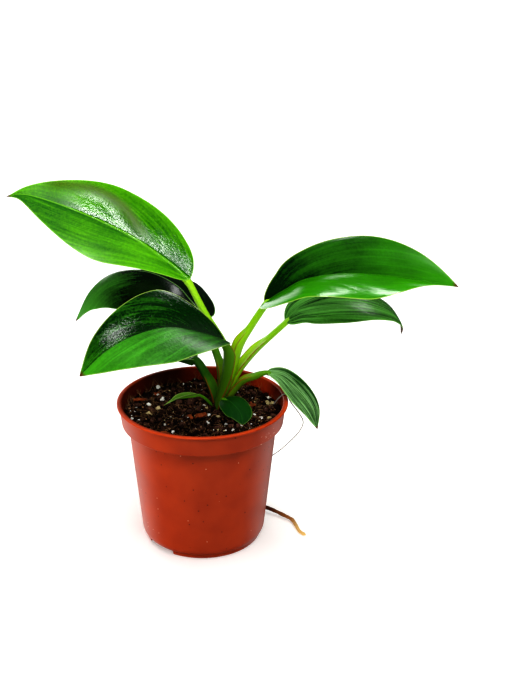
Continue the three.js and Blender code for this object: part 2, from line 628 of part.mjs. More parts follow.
// The exact box of all the meshes gives the shift that puts the origin under its middle.
const box = new THREE.Box3().setFromObject(plant, true);
const middle = box.getCenter(new THREE.Vector3());
plant.position.set(-middle.x, -middle.y, -box.min.z);
const part = new THREE.Group();
part.add(plant);

export default part;
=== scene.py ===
"""A young potted philodendron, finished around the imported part.

The pieces are modelled in millimetres in the pot's own frame, with the pot's axis at x = y = 0 and its foot at z = 0.
One offset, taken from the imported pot, and one scale put them in the row frame in metres.
"""

import logging
import math
import random
from dataclasses import dataclass, field
from enum import Enum

import bmesh
import bpy
import numpy as np
from mathutils import Matrix, Vector, noise
from mathutils.kdtree import KDTree


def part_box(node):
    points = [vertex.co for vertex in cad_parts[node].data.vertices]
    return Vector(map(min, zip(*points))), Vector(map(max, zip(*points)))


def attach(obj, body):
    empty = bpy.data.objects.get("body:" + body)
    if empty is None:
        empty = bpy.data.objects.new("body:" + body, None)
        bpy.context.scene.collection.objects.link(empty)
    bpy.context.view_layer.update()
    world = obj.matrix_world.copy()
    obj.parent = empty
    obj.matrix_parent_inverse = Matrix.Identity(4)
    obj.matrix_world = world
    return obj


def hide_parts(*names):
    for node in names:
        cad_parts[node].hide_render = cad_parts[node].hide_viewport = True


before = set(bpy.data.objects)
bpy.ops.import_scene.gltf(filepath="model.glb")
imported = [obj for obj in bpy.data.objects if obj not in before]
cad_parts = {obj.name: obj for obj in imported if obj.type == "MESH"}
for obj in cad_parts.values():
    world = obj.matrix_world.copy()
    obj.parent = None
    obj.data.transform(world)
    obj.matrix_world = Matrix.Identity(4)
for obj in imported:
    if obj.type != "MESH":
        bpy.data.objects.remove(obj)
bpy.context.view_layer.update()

LOG = logging.getLogger("scene")

MM = 0.001
POT_CORNERS = [Vector(corner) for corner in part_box("pot")]
POT_AXIS = np.array([(POT_CORNERS[0][k] + POT_CORNERS[1][k]) / 2 for k in range(2)] + [0.0])
BODY = "root"

Pair = tuple[float, float]
Triple = tuple[float, float, float]


class Slot(Enum):
    """The record's material slots."""

    POT = "pot_plastic"
    SOIL = "soil"
    STEM = "stem"
    ROOT = "root"
    YOUNG = "leaf_young"
    MID = "leaf_mid"
    DARK = "leaf_dark"


# Small maths


def linear(colour: str) -> tuple[float, float, float, float]:
    """Turns an sRGB hex colour into linear values.

    Args:
        colour: The colour as "#RRGGBB".

    Returns:
        Red, green, blue and an alpha of 1.
    """
    shares = [int(colour[i:i + 2], 16) / 255 for i in (1, 3, 5)]
    straight = [c / 12.92 if c <= 0.04045 else ((c + 0.055) / 1.055) ** 2.4 for c in shares]
    return (*straight, 1.0)


def per_mm(size: float) -> float:
    """Texture scale that gives a pattern of that size in millimetres on a piece measured in metres."""
    return 1.0 / (size * MM)


def soft_step(value: np.ndarray, low: float, high: float) -> np.ndarray:
    """Goes from 0 at low to 1 at high with flat ends.

    Args:
        value: What is measured.
        low: Value where the step starts.
        high: Value where the step ends.

    Returns:
        The share of the step at each value.
    """
    share = np.clip((np.asarray(value, float) - low) / (high - low), 0, 1)
    return share * share * (3 - 2 * share)


def ramp(row: tuple[float, ...], share: np.ndarray) -> np.ndarray:
    """Reads a row of numbers spread evenly from 0 to 1, with soft steps between them.

    Args:
        row: The numbers.
        share: Where to read, from 0 to 1.

    Returns:
        The value at each share.
    """
    place = np.clip(share, 0, 1) * (len(row) - 1)
    index = np.minimum(place.astype(int), len(row) - 2)
    numbers = np.asarray(row, float)
    return numbers[index] + (numbers[index + 1] - numbers[index]) * soft_step(place - index, 0, 1)


def unit(rows: np.ndarray) -> np.ndarray:
    """Rows of vectors at length 1."""
    return rows / np.maximum(np.linalg.norm(rows, axis=-1, keepdims=True), 1e-12)


def bezier(points: list[Pair], share: np.ndarray) -> np.ndarray:
    """Points of a Bezier curve of any degree.

    Args:
        points: The curve's control points.
        share: Where to read, from 0 to 1.

    Returns:
        One point a share.
    """
    rows = [np.broadcast_to(np.asarray(p, float), (*np.shape(share), 2)) for p in points]
    mix = np.asarray(share, float)[..., None]
    while len(rows) > 1:
        rows = [a + (b - a) * mix for a, b in zip(rows, rows[1:])]
    return rows[0]


class Axis:
    """A smooth line through points, with a frame that turns as little as it can and is upright at its anchor."""

    STEPS = 16

    def __init__(self, points: list[Triple], anchor: int = 0) -> None:
        """Makes the line.

        Args:
            points: The points that it passes.
            anchor: The number of the point where its frame is upright.
        """
        given = np.asarray(points, float)
        rows = np.vstack([2 * given[0] - given[1], given, 2 * given[-1] - given[-2]])
        found = []
        for a, b, c, d in zip(rows, rows[1:], rows[2:], rows[3:]):
            for k in range(self.STEPS):
                t = k / self.STEPS
                bend = (2 * a - 5 * b + 4 * c - d) * t * t + (3 * b - a - 3 * c + d) * t ** 3
                found.append(0.5 * (2 * b + (c - a) * t + bend))
        self.points = np.vstack([found, given[-1:]])
        steps = np.linalg.norm(np.diff(self.points, axis=0), axis=1)
        self.lengths = np.concatenate([[0.0], np.cumsum(steps)])
        self.length = float(self.lengths[-1])
        last = len(self.points) - 1
        ends = [(min(i + 1, last), max(i - 1, 0)) for i in range(last + 1)]
        self.tangents = unit(np.array([self.points[i] - self.points[k] for i, k in ends]))
        self.normals = np.zeros_like(self.points)
        start = anchor * self.STEPS
        side = unit(np.cross(self.tangents[start], (0, 0, 1)))
        self.normals[start] = np.cross(side, self.tangents[start])
        for i in range(start + 1, last + 1):
            self.normals[i] = self.carried(i - 1, i)
        for i in range(start - 1, -1, -1):
            self.normals[i] = self.carried(i + 1, i)

    def carried(self, before: int, after: int) -> np.ndarray:
        """The normal of one step turned to the next step's tangent.

        Args:
            before: The step whose normal is known.
            after: The step that gets it.

        Returns:
            The turned normal.
        """
        turn = Vector(self.tangents[before]).rotation_difference(Vector(self.tangents[after]))
        return np.array(turn @ Vector(self.normals[before]))

    def at(self, distance: np.ndarray) -> tuple[np.ndarray, np.ndarray, np.ndarray, np.ndarray]:
        """Points and frames at distances along the line, straight on past its ends.

        Args:
            distance: How far along.

        Returns:
            Points, tangents, normals and sides.
        """
        wanted = np.asarray(distance, float)
        inside = np.clip(wanted, 0, self.length)
        point, tangent, normal = (
            np.stack([np.interp(inside, self.lengths, rows[:, k]) for k in range(3)], -1)
            for rows in (self.points, self.tangents, self.normals)
        )
        tangent, normal = unit(tangent), unit(normal)
        point = point + tangent * (wanted - inside)[..., None]
        return point, tangent, normal, np.cross(tangent, normal)


def wobble(point: Triple, size: float, seed: float) -> float:
    """Smooth noise from about -1 to 1.

    Args:
        point: Where to read, in millimetres.
        size: The pattern's size in millimetres.
        seed: Shifts the pattern.

    Returns:
        The noise there.
    """
    return noise.noise(Vector(point) / size + Vector((seed, seed * 0.7, seed * 1.3)))


# Meshes


def new_piece(
    name: str,
    points: np.ndarray,
    faces: list,
    fields: dict[str, np.ndarray] | None = None,
    sharp: float = 180.0,
) -> bpy.types.Object:
    """Makes an object from points in the pot's frame.

    Args:
        name: The piece's name.
        points: Its points in millimetres.
        faces: Rows of point numbers.
        fields: Numbers kept with each point for its material.
        sharp: Edges over this many degrees stay sharp.

    Returns:
        The new object, linked to the scene.
    """
    mesh = bpy.data.meshes.new(name)
    mesh.from_pydata(((np.asarray(points, float)) * MM + POT_AXIS).tolist(), [], faces)
    for field_name, values in (fields or {}).items():
        attribute = mesh.attributes.new(field_name, "FLOAT", "POINT")
        attribute.data.foreach_set("value", np.asarray(values, np.float32))
    made = bpy.data.objects.new(name, mesh)
    bpy.context.scene.collection.objects.link(made)
    tidy_mesh(mesh)
    shade(mesh, sharp)
    return made


def tidy_mesh(mesh: bpy.types.Mesh) -> None:
    """Merges points that meet, drops faces with no area and turns the faces outwards."""
    work = bmesh.new()
    work.from_mesh(mesh)
    bmesh.ops.remove_doubles(work, verts=work.verts, dist=1e-6)
    bmesh.ops.dissolve_degenerate(work, edges=work.edges, dist=1e-7)
    bmesh.ops.recalc_face_normals(work, faces=work.faces)
    work.to_mesh(mesh)
    work.free()


def shade(mesh: bpy.types.Mesh, sharp: float) -> None:
    """Shades the faces smooth and keeps edges over so many degrees sharp."""
    mesh.polygons.foreach_set("use_smooth", [True] * len(mesh.polygons))
    if sharp < 180:
        mesh.set_sharp_from_angle(angle=math.radians(sharp))
    mesh.update()


def grid_faces(rows: int, columns: int, closed: bool = False, start: int = 0, flip: bool = False) -> list:
    """Faces of a grid of points.

    Args:
        rows: Points one way.
        columns: Points the other way.
        closed: Whether the last column meets the first.
        start: Number of the grid's first point.
        flip: Whether the faces turn the other way.

    Returns:
        Four-sided faces.
    """
    faces = []
    across = columns if closed else columns - 1
    for i in range(rows - 1):
        for k in range(across):
            after = (k + 1) % columns
            a, b = start + i * columns + k, start + i * columns + after
            c, d = start + (i + 1) * columns + after, start + (i + 1) * columns + k
            faces.append((a, d, c, b) if flip else (a, b, c, d))
    return faces


def turned(profile: list[Pair], sides: int) -> tuple[np.ndarray, list]:
    """A body turned about the pot's axis.

    Args:
        profile: Rows of radius and height, closed or with both ends on the axis.
        sides: How many steps a turn has.

    Returns:
        Points and faces.
    """
    rows = np.asarray(profile, float)
    angles = 2 * np.pi * np.arange(sides) / sides
    points = np.stack(
        [rows[:, :1] * np.cos(angles), rows[:, :1] * np.sin(angles), np.repeat(rows[:, 1:], sides, 1)], -1
    )
    return points.reshape(-1, 3), grid_faces(len(rows), sides, closed=True)


def filleted(corners: list[Triple], steps: int = 5) -> list[Pair]:
    """Rounds the corners of a profile.

    Args:
        corners: Rows of radius, height and how far from the corner its round starts.
        steps: Steps in each round.

    Returns:
        The profile as rows of radius and height.
    """
    made: list[Pair] = []
    for i, (radius, height, cut) in enumerate(corners):
        here = np.array([radius, height])
        if cut == 0 or i in (0, len(corners) - 1):
            made.append((radius, height))
            continue
        before = here + unit(np.array(corners[i - 1][:2]) - here) * cut
        after = here + unit(np.array(corners[i + 1][:2]) - here) * cut
        made.extend(map(tuple, bezier([tuple(before), tuple(here), tuple(after)], np.linspace(0, 1, steps))))
    return made


def tube(
    axis: Axis, radii: np.ndarray, sides: int, oval: float = 1.0
) -> tuple[np.ndarray, list, np.ndarray]:
    """A closed tube along an axis.

    Args:
        axis: The line that it follows.
        radii: Its radius at even steps along the line.
        sides: How many sides it has.
        oval: Its height as a share of its width.

    Returns:
        Points, faces, and how far along each point is, from 0 to 1.
    """
    shares = np.linspace(0, 1, len(radii))
    point, _, normal, side = axis.at(shares * axis.length)
    angles = 2 * np.pi * np.arange(sides) / sides
    ring = radii[:, None, None] * (
        side[:, None] * np.cos(angles)[None, :, None] + normal[:, None] * np.sin(angles)[None, :, None] * oval
    )
    points = (point[:, None] + ring).reshape(-1, 3)
    last = len(points) - sides
    faces = grid_faces(len(radii), sides, closed=True)
    faces.append(tuple(range(sides)))
    faces.append(tuple(range(len(points) - 1, last - 1, -1)))
    return points, faces, np.repeat(shares, sides)


class Heap:
    """Many small bodies gathered into one mesh."""

    def __init__(self) -> None:
        """Starts empty."""
        self.points: list[np.ndarray] = []
        self.faces: list = []
        self.tones: list[np.ndarray] = []
        self.count = 0

    def add(self, points: np.ndarray, faces: list, tone: float | np.ndarray) -> None:
        """Adds one body.

        Args:
            points: Its points in millimetres.
            faces: Its faces by its own point numbers.
            tone: A number kept for its material, or one for each point.
        """
        self.faces.extend(tuple(index + self.count for index in face) for face in faces)
        self.points.append(points)
        self.tones.append(np.broadcast_to(np.asarray(tone, float), len(points)))
        self.count += len(points)

    def piece(self, name: str, sharp: float = 180.0) -> bpy.types.Object:
        """The gathered bodies as one object."""
        return new_piece(name, np.vstack(self.points), self.faces, {"tone": np.concatenate(self.tones)}, sharp)


def ball(level: int) -> tuple[np.ndarray, list]:
    """Points and faces of a round ball of radius 1, finer at each level."""
    work = bmesh.new()
    bmesh.ops.create_icosphere(work, subdivisions=level, radius=1.0)
    points = np.array([v.co for v in work.verts])
    faces = [tuple(v.index for v in f.verts) for f in work.faces]
    work.free()
    return points, faces


def lump(
    shape: tuple[np.ndarray, list], centre: Triple, sizes: Triple, turn: Triple, rough: float, seed: float
) -> np.ndarray:
    """A rough stone or crumb.

    Args:
        shape: The ball that it starts from.
        centre: Its middle.
        sizes: Its half sizes.
        turn: Its turn about x, y and z in radians.
        rough: How far its surface strays, as a share of its size.
        seed: Gives it its own shape.

    Returns:
        Its points.
    """
    points = np.array([p * (1 + rough * wobble(tuple(p), 0.8, seed)) for p in shape[0]]) * sizes
    x, y, z = turn
    turned_by = Matrix.Rotation(z, 3, "Z") @ Matrix.Rotation(y, 3, "Y") @ Matrix.Rotation(x, 3, "X")
    return points @ np.array(turned_by).T + np.asarray(centre)


# Materials


def add(
    tree: bpy.types.NodeTree, kind: str, settings: dict | None = None, links: dict | None = None
) -> bpy.types.Node:
    """Adds a node.

    Args:
        tree: The tree that gets it.
        kind: Its type without the word ShaderNode.
        settings: Its properties and input values by name, or by number for an input.
        links: The outputs that its inputs take, by the input's name or number.

    Returns:
        The node.
    """
    made = tree.nodes.new("ShaderNode" + kind)
    for key, value in (settings or {}).items():
        if isinstance(key, str) and hasattr(made, key):
            setattr(made, key, value)
        else:
            made.inputs[key].default_value = value
    for key, source in (links or {}).items():
        tree.links.new(source, made.inputs[key])
    return made


def new_material(name: str) -> tuple[bpy.types.Material, bpy.types.NodeTree, bpy.types.Node]:
    """Makes a material with one surface shader.

    Args:
        name: The material's name.

    Returns:
        The material, its tree and its shader.
    """
    material = bpy.data.materials.new(name)
    material.use_nodes = True
    tree = material.node_tree
    tree.nodes.clear()
    shader = add(tree, "BsdfPrincipled")
    add(tree, "OutputMaterial", links={"Surface": shader.outputs[0]})
    return material, tree, shader


def set_shader(tree: bpy.types.NodeTree, shader: bpy.types.Node, settings: dict, links: dict) -> None:
    """Sets and links inputs of the surface shader.

    Args:
        tree: The material's tree.
        shader: Its surface shader.
        settings: Input values by name.
        links: Outputs by input name.
    """
    for key, value in settings.items():
        shader.inputs[key].default_value = value
    for key, source in links.items():
        tree.links.new(source, shader.inputs[key])


@dataclass(frozen=True)
class LeafFlesh:
    """Living leaf blade: a waxy cuticle over green flesh. The eye gets a clear gloss that the fine cells break into
    specks, faint pale streaks that follow the veins, a pale midrib, a thin pale margin and a dry brown tip, and painted
    shade along a crease. Pairs are for the left and the right half: lift is how light a half is at its base by the rib,
    rise what it gains to the tip and spread what it gains to the margin. Besides the flesh's own tone, these carry
    painted shade on halves that lie in shade and painted sheen on halves that catch it. Slant is how much nearer to the
    tip a streak ends than its side vein, as a share of the blade, and dull_tip is what the roughness gains towards the
    tip."""

    name: str
    deep: str
    light: str
    rib: str
    rim: str
    under: str
    dry: str = "#5A3312"
    # Colour of the painted shade along the crease that crosses a blade
    ridge: str = "#4A5E06"
    slant: float = 0.3
    streaks: float = 0.4
    streak_edges: Pair = (0.17, 0.45)
    lift: Pair = (0.1, 0.1)
    rise: Pair = (0.0, 0.0)
    spread: Pair = (0.0, 0.0)
    roughness: Pair = (0.25, 0.25)
    dull_tip: float = 0.0
    rib_width: float = 1.0
    rib_strength: float = 0.5
    rim_strength: float = 0.6
    rim_width: float = 0.5
    speckle: float = 0.16
    translucency: float = 0.12
    dry_from: float = 0.965
    seed: float = 0.0

    # Side veins that can be told apart between base and tip, cells of the cuticle and blotches, in millimetres. Real
    # cells are some 0.05 mm wide: they are drawn coarser, so that the gloss still breaks up in the picture. A blade is
    # about LENGTHS times as long as its half is wide.
    VEINS = 16.0
    LENGTHS = 3.5
    CELL = 1.9
    BLOTCH = 24.0

    def by_half(self, tree: bpy.types.NodeTree, hand: bpy.types.NodeSocket, pair: Pair) -> bpy.types.NodeSocket:
        """A number that is one thing on the left half and another on the right one.

        Args:
            tree: The material's tree.
            hand: -1 on the left half and 1 on the right one.
            pair: The numbers.

        Returns:
            The number's output.
        """
        spread = {"From Min": -1.0, "From Max": 1.0, "To Min": pair[0], "To Max": pair[1]}
        return add(tree, "MapRange", spread, {"Value": hand}).outputs[0]

    def pattern(
        self, tree: bpy.types.NodeTree, place: bpy.types.NodeSocket, stretch: Triple, detail: float, shift: float
    ) -> bpy.types.NodeSocket:
        """Noise that is drawn out along the veins.

        Args:
            tree: The material's tree.
            place: The place on the blade, counted across the veins and along them.
            stretch: How often the noise changes each way.
            detail: How much finer noise it carries.
            shift: Moves the pattern.

        Returns:
            The noise's output.
        """
        drawn = add(
            tree, "VectorMath", {"operation": "MULTIPLY_ADD", 1: stretch, 2: (self.seed + shift,) * 3}, {0: place}
        ).outputs[0]
        return add(
            tree, "TexNoise", {"Scale": 1.0, "Detail": detail, "Roughness": 0.55}, {"Vector": drawn}
        ).outputs["Fac"]

    def lightness(
        self, tree: bpy.types.NodeTree, read: dict[str, bpy.types.NodeSocket], cell: bpy.types.NodeSocket
    ) -> tuple[bpy.types.NodeSocket, bpy.types.NodeSocket]:
        """How light the flesh is from place to place.

        Args:
            tree: The material's tree.
            read: The numbers that the blade keeps with its points.
            cell: The pattern of the cells.

        Returns:
            The share of the light colour, and the finest streaks.
        """
        across = add(
            tree, "Math", {"operation": "MULTIPLY_ADD", 1: -self.slant}, {0: read["half"], 2: read["vein"]}
        ).outputs[0]
        lines = add(tree, "CombineXYZ", links={"X": across, "Y": read["half"], "Z": read["hand"]}).outputs[0]
        count = self.VEINS / (1 + self.LENGTHS * self.slant)
        fine = self.pattern(tree, lines, (count * 5, 2.4, 7.0), 3.0, 0.0)
        broad = self.pattern(tree, lines, (count, 1.4, 7.0), 2.0, 5.0)
        both = add(tree, "Math", {"operation": "MULTIPLY"}, {0: fine, 1: broad}).outputs[0]
        streak = add(
            tree, "MapRange",
            {"From Min": self.streak_edges[0], "From Max": self.streak_edges[1], "To Max": self.streaks},
            {"Value": both},
        ).outputs[0]
        place = add(tree, "TexCoord").outputs["Object"]
        blotch = add(
            tree, "TexNoise", {"Scale": per_mm(self.BLOTCH), "Detail": 1.0, "Roughness": 0.5}, {"Vector": place}
        ).outputs["Fac"]
        patch = add(
            tree, "MapRange", {"From Min": 0.35, "From Max": 0.7, "To Min": -0.03, "To Max": 0.12}, {"Value": blotch}
        ).outputs[0]
        uneven = 0.03 + 0.14 * self.speckle
        mottle = add(
            tree, "MapRange", {"From Min": 0.35, "From Max": 0.65, "To Min": -uneven, "To Max": uneven}, {"Value": cell}
        ).outputs[0]
        # The lifts, rises and spreads by half carry painted shade and painted sheen as well as the flesh's tone.
        gain = add(
            tree, "Math", {"operation": "MULTIPLY_ADD"},
            {0: self.by_half(tree, read["hand"], self.rise), 1: read["along"],
             2: self.by_half(tree, read["hand"], self.lift)},
        ).outputs[0]
        outward = add(
            tree, "Math", {"operation": "MULTIPLY"}, {0: self.by_half(tree, read["hand"], self.spread), 1: read["half"]}
        ).outputs[0]
        whole = streak
        for part in (patch, mottle, gain, outward):
            whole = add(tree, "Math", {"operation": "ADD"}, {0: whole, 1: part}).outputs[0]
        return add(tree, "Clamp", links={"Value": whole}).outputs[0], fine

    def make(self) -> bpy.types.Material:
        """Makes the material, which reads the numbers that a leaf keeps with its points."""
        material, tree, shader = new_material(self.name)
        read = {
            key: add(tree, "Attribute", {"attribute_name": key}).outputs["Fac"]
            for key in ("vein", "half", "hand", "rib_mm", "edge_mm", "along", "under", "ridge")
        }
        place = add(tree, "TexCoord").outputs["Object"]
        cell = add(
            tree, "TexNoise", {"Scale": per_mm(self.CELL), "Detail": 2.0, "Roughness": 0.7}, {"Vector": place}
        ).outputs["Fac"]
        light_share, fine = self.lightness(tree, read, cell)
        colour = add(
            tree, "Mix", {"data_type": "RGBA", 6: linear(self.deep), 7: linear(self.light)}, {0: light_share}
        ).outputs[2]
        thin = add(
            tree, "MapRange",
            {"From Max": 1.0, "To Min": self.rib_width, "To Max": self.rib_width * 0.2}, {"Value": read["along"]},
        ).outputs[0]
        reach = add(tree, "Math", {"operation": "DIVIDE"}, {0: read["rib_mm"], 1: thin}).outputs[0]
        on_rib = add(
            tree, "MapRange",
            {"From Min": 0.45, "From Max": 1.25, "To Min": self.rib_strength, "To Max": 0.0,
             "interpolation_type": "SMOOTHSTEP"},
            {"Value": reach},
        ).outputs[0]
        on_rim = add(
            tree, "MapRange",
            {"From Min": self.rim_width * 0.4, "From Max": self.rim_width * 1.5, "To Min": self.rim_strength,
             "To Max": 0.0},
            {"Value": read["edge_mm"]},
        ).outputs[0]
        on_tip = add(
            tree, "MapRange", {"From Min": self.dry_from, "From Max": self.dry_from + 0.02}, {"Value": read["along"]}
        ).outputs[0]
        # The ridge share with the ridge colour paints shade along the crease; the same share also raises the roughness
        # there.
        layers = (
            (on_rib, self.rib), (read["ridge"], self.ridge), (on_rim, self.rim),
            (read["under"], self.under), (on_tip, self.dry),
        )
        for share, tint in layers:
            colour = add(
                tree, "Mix", {"data_type": "RGBA", 7: linear(tint)}, {0: share, 6: colour}
            ).outputs[2]
        waxy = add(tree, "MapRange", {"To Min": -0.05, "To Max": 0.07}, {"Value": cell}).outputs[0]
        dull = add(
            tree, "Math", {"operation": "ADD"}, {0: self.by_half(tree, read["hand"], self.roughness), 1: waxy}
        ).outputs[0]
        dried = add(
            tree, "MapRange", {"From Min": 0.6, "From Max": 0.76, "To Max": self.dull_tip}, {"Value": read["along"]}
        ).outputs[0]
        creased = add(tree, "Math", {"operation": "MULTIPLY_ADD", 1: 0.5}, {0: read["ridge"], 2: dried}).outputs[0]
        dull = add(tree, "Math", {"operation": "ADD"}, {0: dull, 1: creased}).outputs[0]
        skin = add(
            tree, "Bump", {"Strength": self.speckle, "Distance": 0.5 * MM}, {"Height": cell}
        ).outputs[0]
        furrows = add(
            tree, "Bump", {"Strength": 0.1, "Distance": 0.5 * MM}, {"Height": fine, "Normal": skin}
        ).outputs[0]
        set_shader(
            tree, shader,
            {"IOR": 1.45, "Subsurface Weight": self.translucency, "Subsurface Radius": (0.4, 1.0, 0.12),
             "Subsurface Scale": 1.4 * MM},
            {"Base Color": colour, "Roughness": dull, "Normal": furrows},
        )
        return material


@dataclass(frozen=True)
class StalkFlesh:
    """Leaf stalk and its sheath: smooth juicy flesh under a thin wax. The eye gets a satin green that pales upwards,
    and thin red-brown margins on the clasping sheath."""

    name: str
    foot: str
    top: str
    inside: str
    margin: str = "#8A3A1C"
    margin_strength: float = 0.85
    roughness: float = 0.36
    # Ridges that run along the stalk, in millimetres
    RIDGE = 0.9

    def make(self) -> bpy.types.Material:
        """Makes the material, which reads the numbers that a stalk keeps with its points."""
        material, tree, shader = new_material(self.name)
        read = {
            key: add(tree, "Attribute", {"attribute_name": key}).outputs["Fac"]
            for key in ("share", "across", "inner", "margin")
        }
        place = add(tree, "TexCoord").outputs["Object"]
        colour = add(
            tree, "Mix", {"data_type": "RGBA", 6: linear(self.foot), 7: linear(self.top)}, {0: read["share"]}
        ).outputs[2]
        lines = add(tree, "CombineXYZ", links={"X": read["across"], "Y": read["share"], "Z": read["inner"]})
        stretched = add(
            tree, "VectorMath", {"operation": "MULTIPLY", 1: (9.0, 3.0, 4.0)}, {0: lines.outputs[0]}
        )
        stripe = add(
            tree, "TexNoise", {"Scale": 1.0, "Detail": 3.0, "Roughness": 0.6}, {"Vector": stretched.outputs[0]}
        ).outputs["Fac"]
        shadow = add(
            tree, "MapRange", {"From Min": 0.35, "From Max": 0.7, "To Min": 0.0, "To Max": 0.3}, {"Value": stripe}
        ).outputs[0]
        marks = add(
            tree, "TexNoise", {"Scale": per_mm(3.0), "Detail": 4.0, "Roughness": 0.7}, {"Vector": place}
        ).outputs["Fac"]
        broken = add(
            tree, "MapRange", {"From Min": 0.35, "From Max": 0.55, "To Min": 0.45, "To Max": 1.0}, {"Value": marks}
        ).outputs[0]
        red = add(tree, "Math", {"operation": "MULTIPLY"}, {0: read["margin"], 1: broken}).outputs[0]
        red_share = add(tree, "Math", {"operation": "MULTIPLY", 1: self.margin_strength}, {0: red}).outputs[0]
        inside_share = add(tree, "Math", {"operation": "MULTIPLY", 1: 0.7}, {0: read["inner"]}).outputs[0]
        for share, tint in ((shadow, self.foot), (inside_share, self.inside), (red_share, self.margin)):
            colour = add(
                tree, "Mix", {"data_type": "RGBA", 7: linear(tint)}, {0: share, 6: colour}
            ).outputs[2]
        skin = add(tree, "Bump", {"Strength": 0.15, "Distance": 0.4 * MM}, {"Height": stripe}).outputs[0]
        set_shader(
            tree, shader,
            {"IOR": 1.45, "Roughness": self.roughness, "Subsurface Weight": 0.12,
             "Subsurface Radius": (0.6, 1.0, 0.2), "Subsurface Scale": 1.5 * MM},
            {"Base Color": colour, "Normal": skin},
        )
        return material


@dataclass(frozen=True)
class MouldedPolypropylene:
    """Injection-moulded polypropylene, coloured in the mass like fired clay. The eye gets an even satin skin with a
    milky sheen at its turned-away sides, a faint orange peel, dust and soil specks, a few pale scuffs, and painted
    shade that darkens the inner wall above the soil."""

    name: str = "moulded_polypropylene_terracotta"
    body: str = "#96300C"
    warm: str = "#A4380E"
    dust: str = "#D8A184"
    speck: str = "#4A140A"
    scuff: str = "#E0B49A"
    sheen: str = "#FFDCC8"
    # Colour of the painted shade on the inner wall above the soil
    inner_shade_colour: str = "#2E0A04"
    roughness: float = 0.42
    # The skin's orange peel, the blotches of the pigment, specks of soil and dust, in millimetres
    PEEL = 1.2
    BLOTCH = 22.0
    SPECK = 3.2
    DUST = 4.4

    def make(self) -> bpy.types.Material:
        """Makes the material."""
        material, tree, shader = new_material(self.name)
        place = add(tree, "TexCoord").outputs["Object"]
        height = add(tree, "Attribute", {"attribute_name": "height_mm"}).outputs["Fac"]
        turn = add(tree, "Attribute", {"attribute_name": "turn_deg"}).outputs["Fac"]
        blotch = add(
            tree, "TexNoise", {"Scale": per_mm(self.BLOTCH), "Detail": 2.0, "Roughness": 0.55}, {"Vector": place}
        ).outputs["Fac"]
        warm_share = add(
            tree, "MapRange", {"From Min": 0.35, "From Max": 0.68}, {"Value": blotch}
        ).outputs[0]
        colour = add(
            tree, "Mix", {"data_type": "RGBA", 6: linear(self.body), 7: linear(self.warm)}, {0: warm_share}
        ).outputs[2]
        specks = []
        for size, reach, rarity in ((self.SPECK, 0.22, 0.92), (self.DUST, 0.1, 0.85)):
            cells = add(
                tree, "TexVoronoi", {"Scale": per_mm(size), "Randomness": 1.0}, {"Vector": place}
            )
            spare = add(tree, "SeparateColor", links={"Color": cells.outputs["Color"]}).outputs["Red"]
            chosen = add(tree, "Math", {"operation": "GREATER_THAN", 1: rarity}, {0: spare}).outputs[0]
            near = add(
                tree, "MapRange", {"From Min": reach * 0.5, "From Max": reach, "To Min": 1.0, "To Max": 0.0},
                {"Value": cells.outputs["Distance"]},
            ).outputs[0]
            specks.append(add(tree, "Math", {"operation": "MULTIPLY"}, {0: chosen, 1: near}).outputs[0])
        scratch_place = add(
            tree, "Mapping", {"Rotation": (0.4, 0.9, 0.3), "Scale": (per_mm(1.1), per_mm(9.0), per_mm(1.4))},
            {"Vector": place},
        )
        scratch = add(
            tree, "TexNoise", {"Scale": 1.0, "Detail": 2.0, "Roughness": 0.6}, {"Vector": scratch_place.outputs[0]}
        ).outputs["Fac"]
        line = add(
            tree, "MapRange", {"From Min": 0.64, "From Max": 0.7, "To Max": 0.8}, {"Value": scratch}
        ).outputs[0]
        near_turn = add(
            tree, "Math", {"operation": "COMPARE", 1: -32.0, 2: 12.0}, {0: turn}
        ).outputs[0]
        near_height = add(
            tree, "Math", {"operation": "COMPARE", 1: 92.0, 2: 6.0}, {0: height}
        ).outputs[0]
        there = add(tree, "Math", {"operation": "MULTIPLY"}, {0: near_turn, 1: near_height}).outputs[0]
        scuffed = add(tree, "Math", {"operation": "MULTIPLY"}, {0: line, 1: there}).outputs[0]
        # Painted shade: the inner wall above the soil is darkened towards a deep red-brown.
        stain = add(tree, "Attribute", {"attribute_name": "stain"}).outputs["Fac"]
        layers = ((specks[1], self.dust), (specks[0], self.speck), (scuffed, self.scuff), (stain, self.inner_shade_colour))
        for share, tint in layers:
            colour = add(
                tree, "Mix", {"data_type": "RGBA", 7: linear(tint)}, {0: share, 6: colour}
            ).outputs[2]
        peel = add(
            tree, "TexNoise", {"Scale": per_mm(self.PEEL), "Detail": 2.0, "Roughness": 0.5}, {"Vector": place}
        ).outputs["Fac"]
        satin = add(
            tree, "MapRange", {"To Min": self.roughness - 0.05, "To Max": self.roughness + 0.08}, {"Value": blotch}
        ).outputs[0]
        skin = add(tree, "Bump", {"Strength": 0.1, "Distance": 0.2 * MM}, {"Height": peel}).outputs[0]
        set_shader(
            tree, shader,
            {"IOR": 1.49, "Specular Tint": linear(self.sheen), "Subsurface Weight": 0.02,
             "Subsurface Radius": (1.0, 0.3, 0.1), "Subsurface Scale": 1.0 * MM},
            {"Base Color": colour, "Roughness": satin, "Normal": skin},
        )
        return material


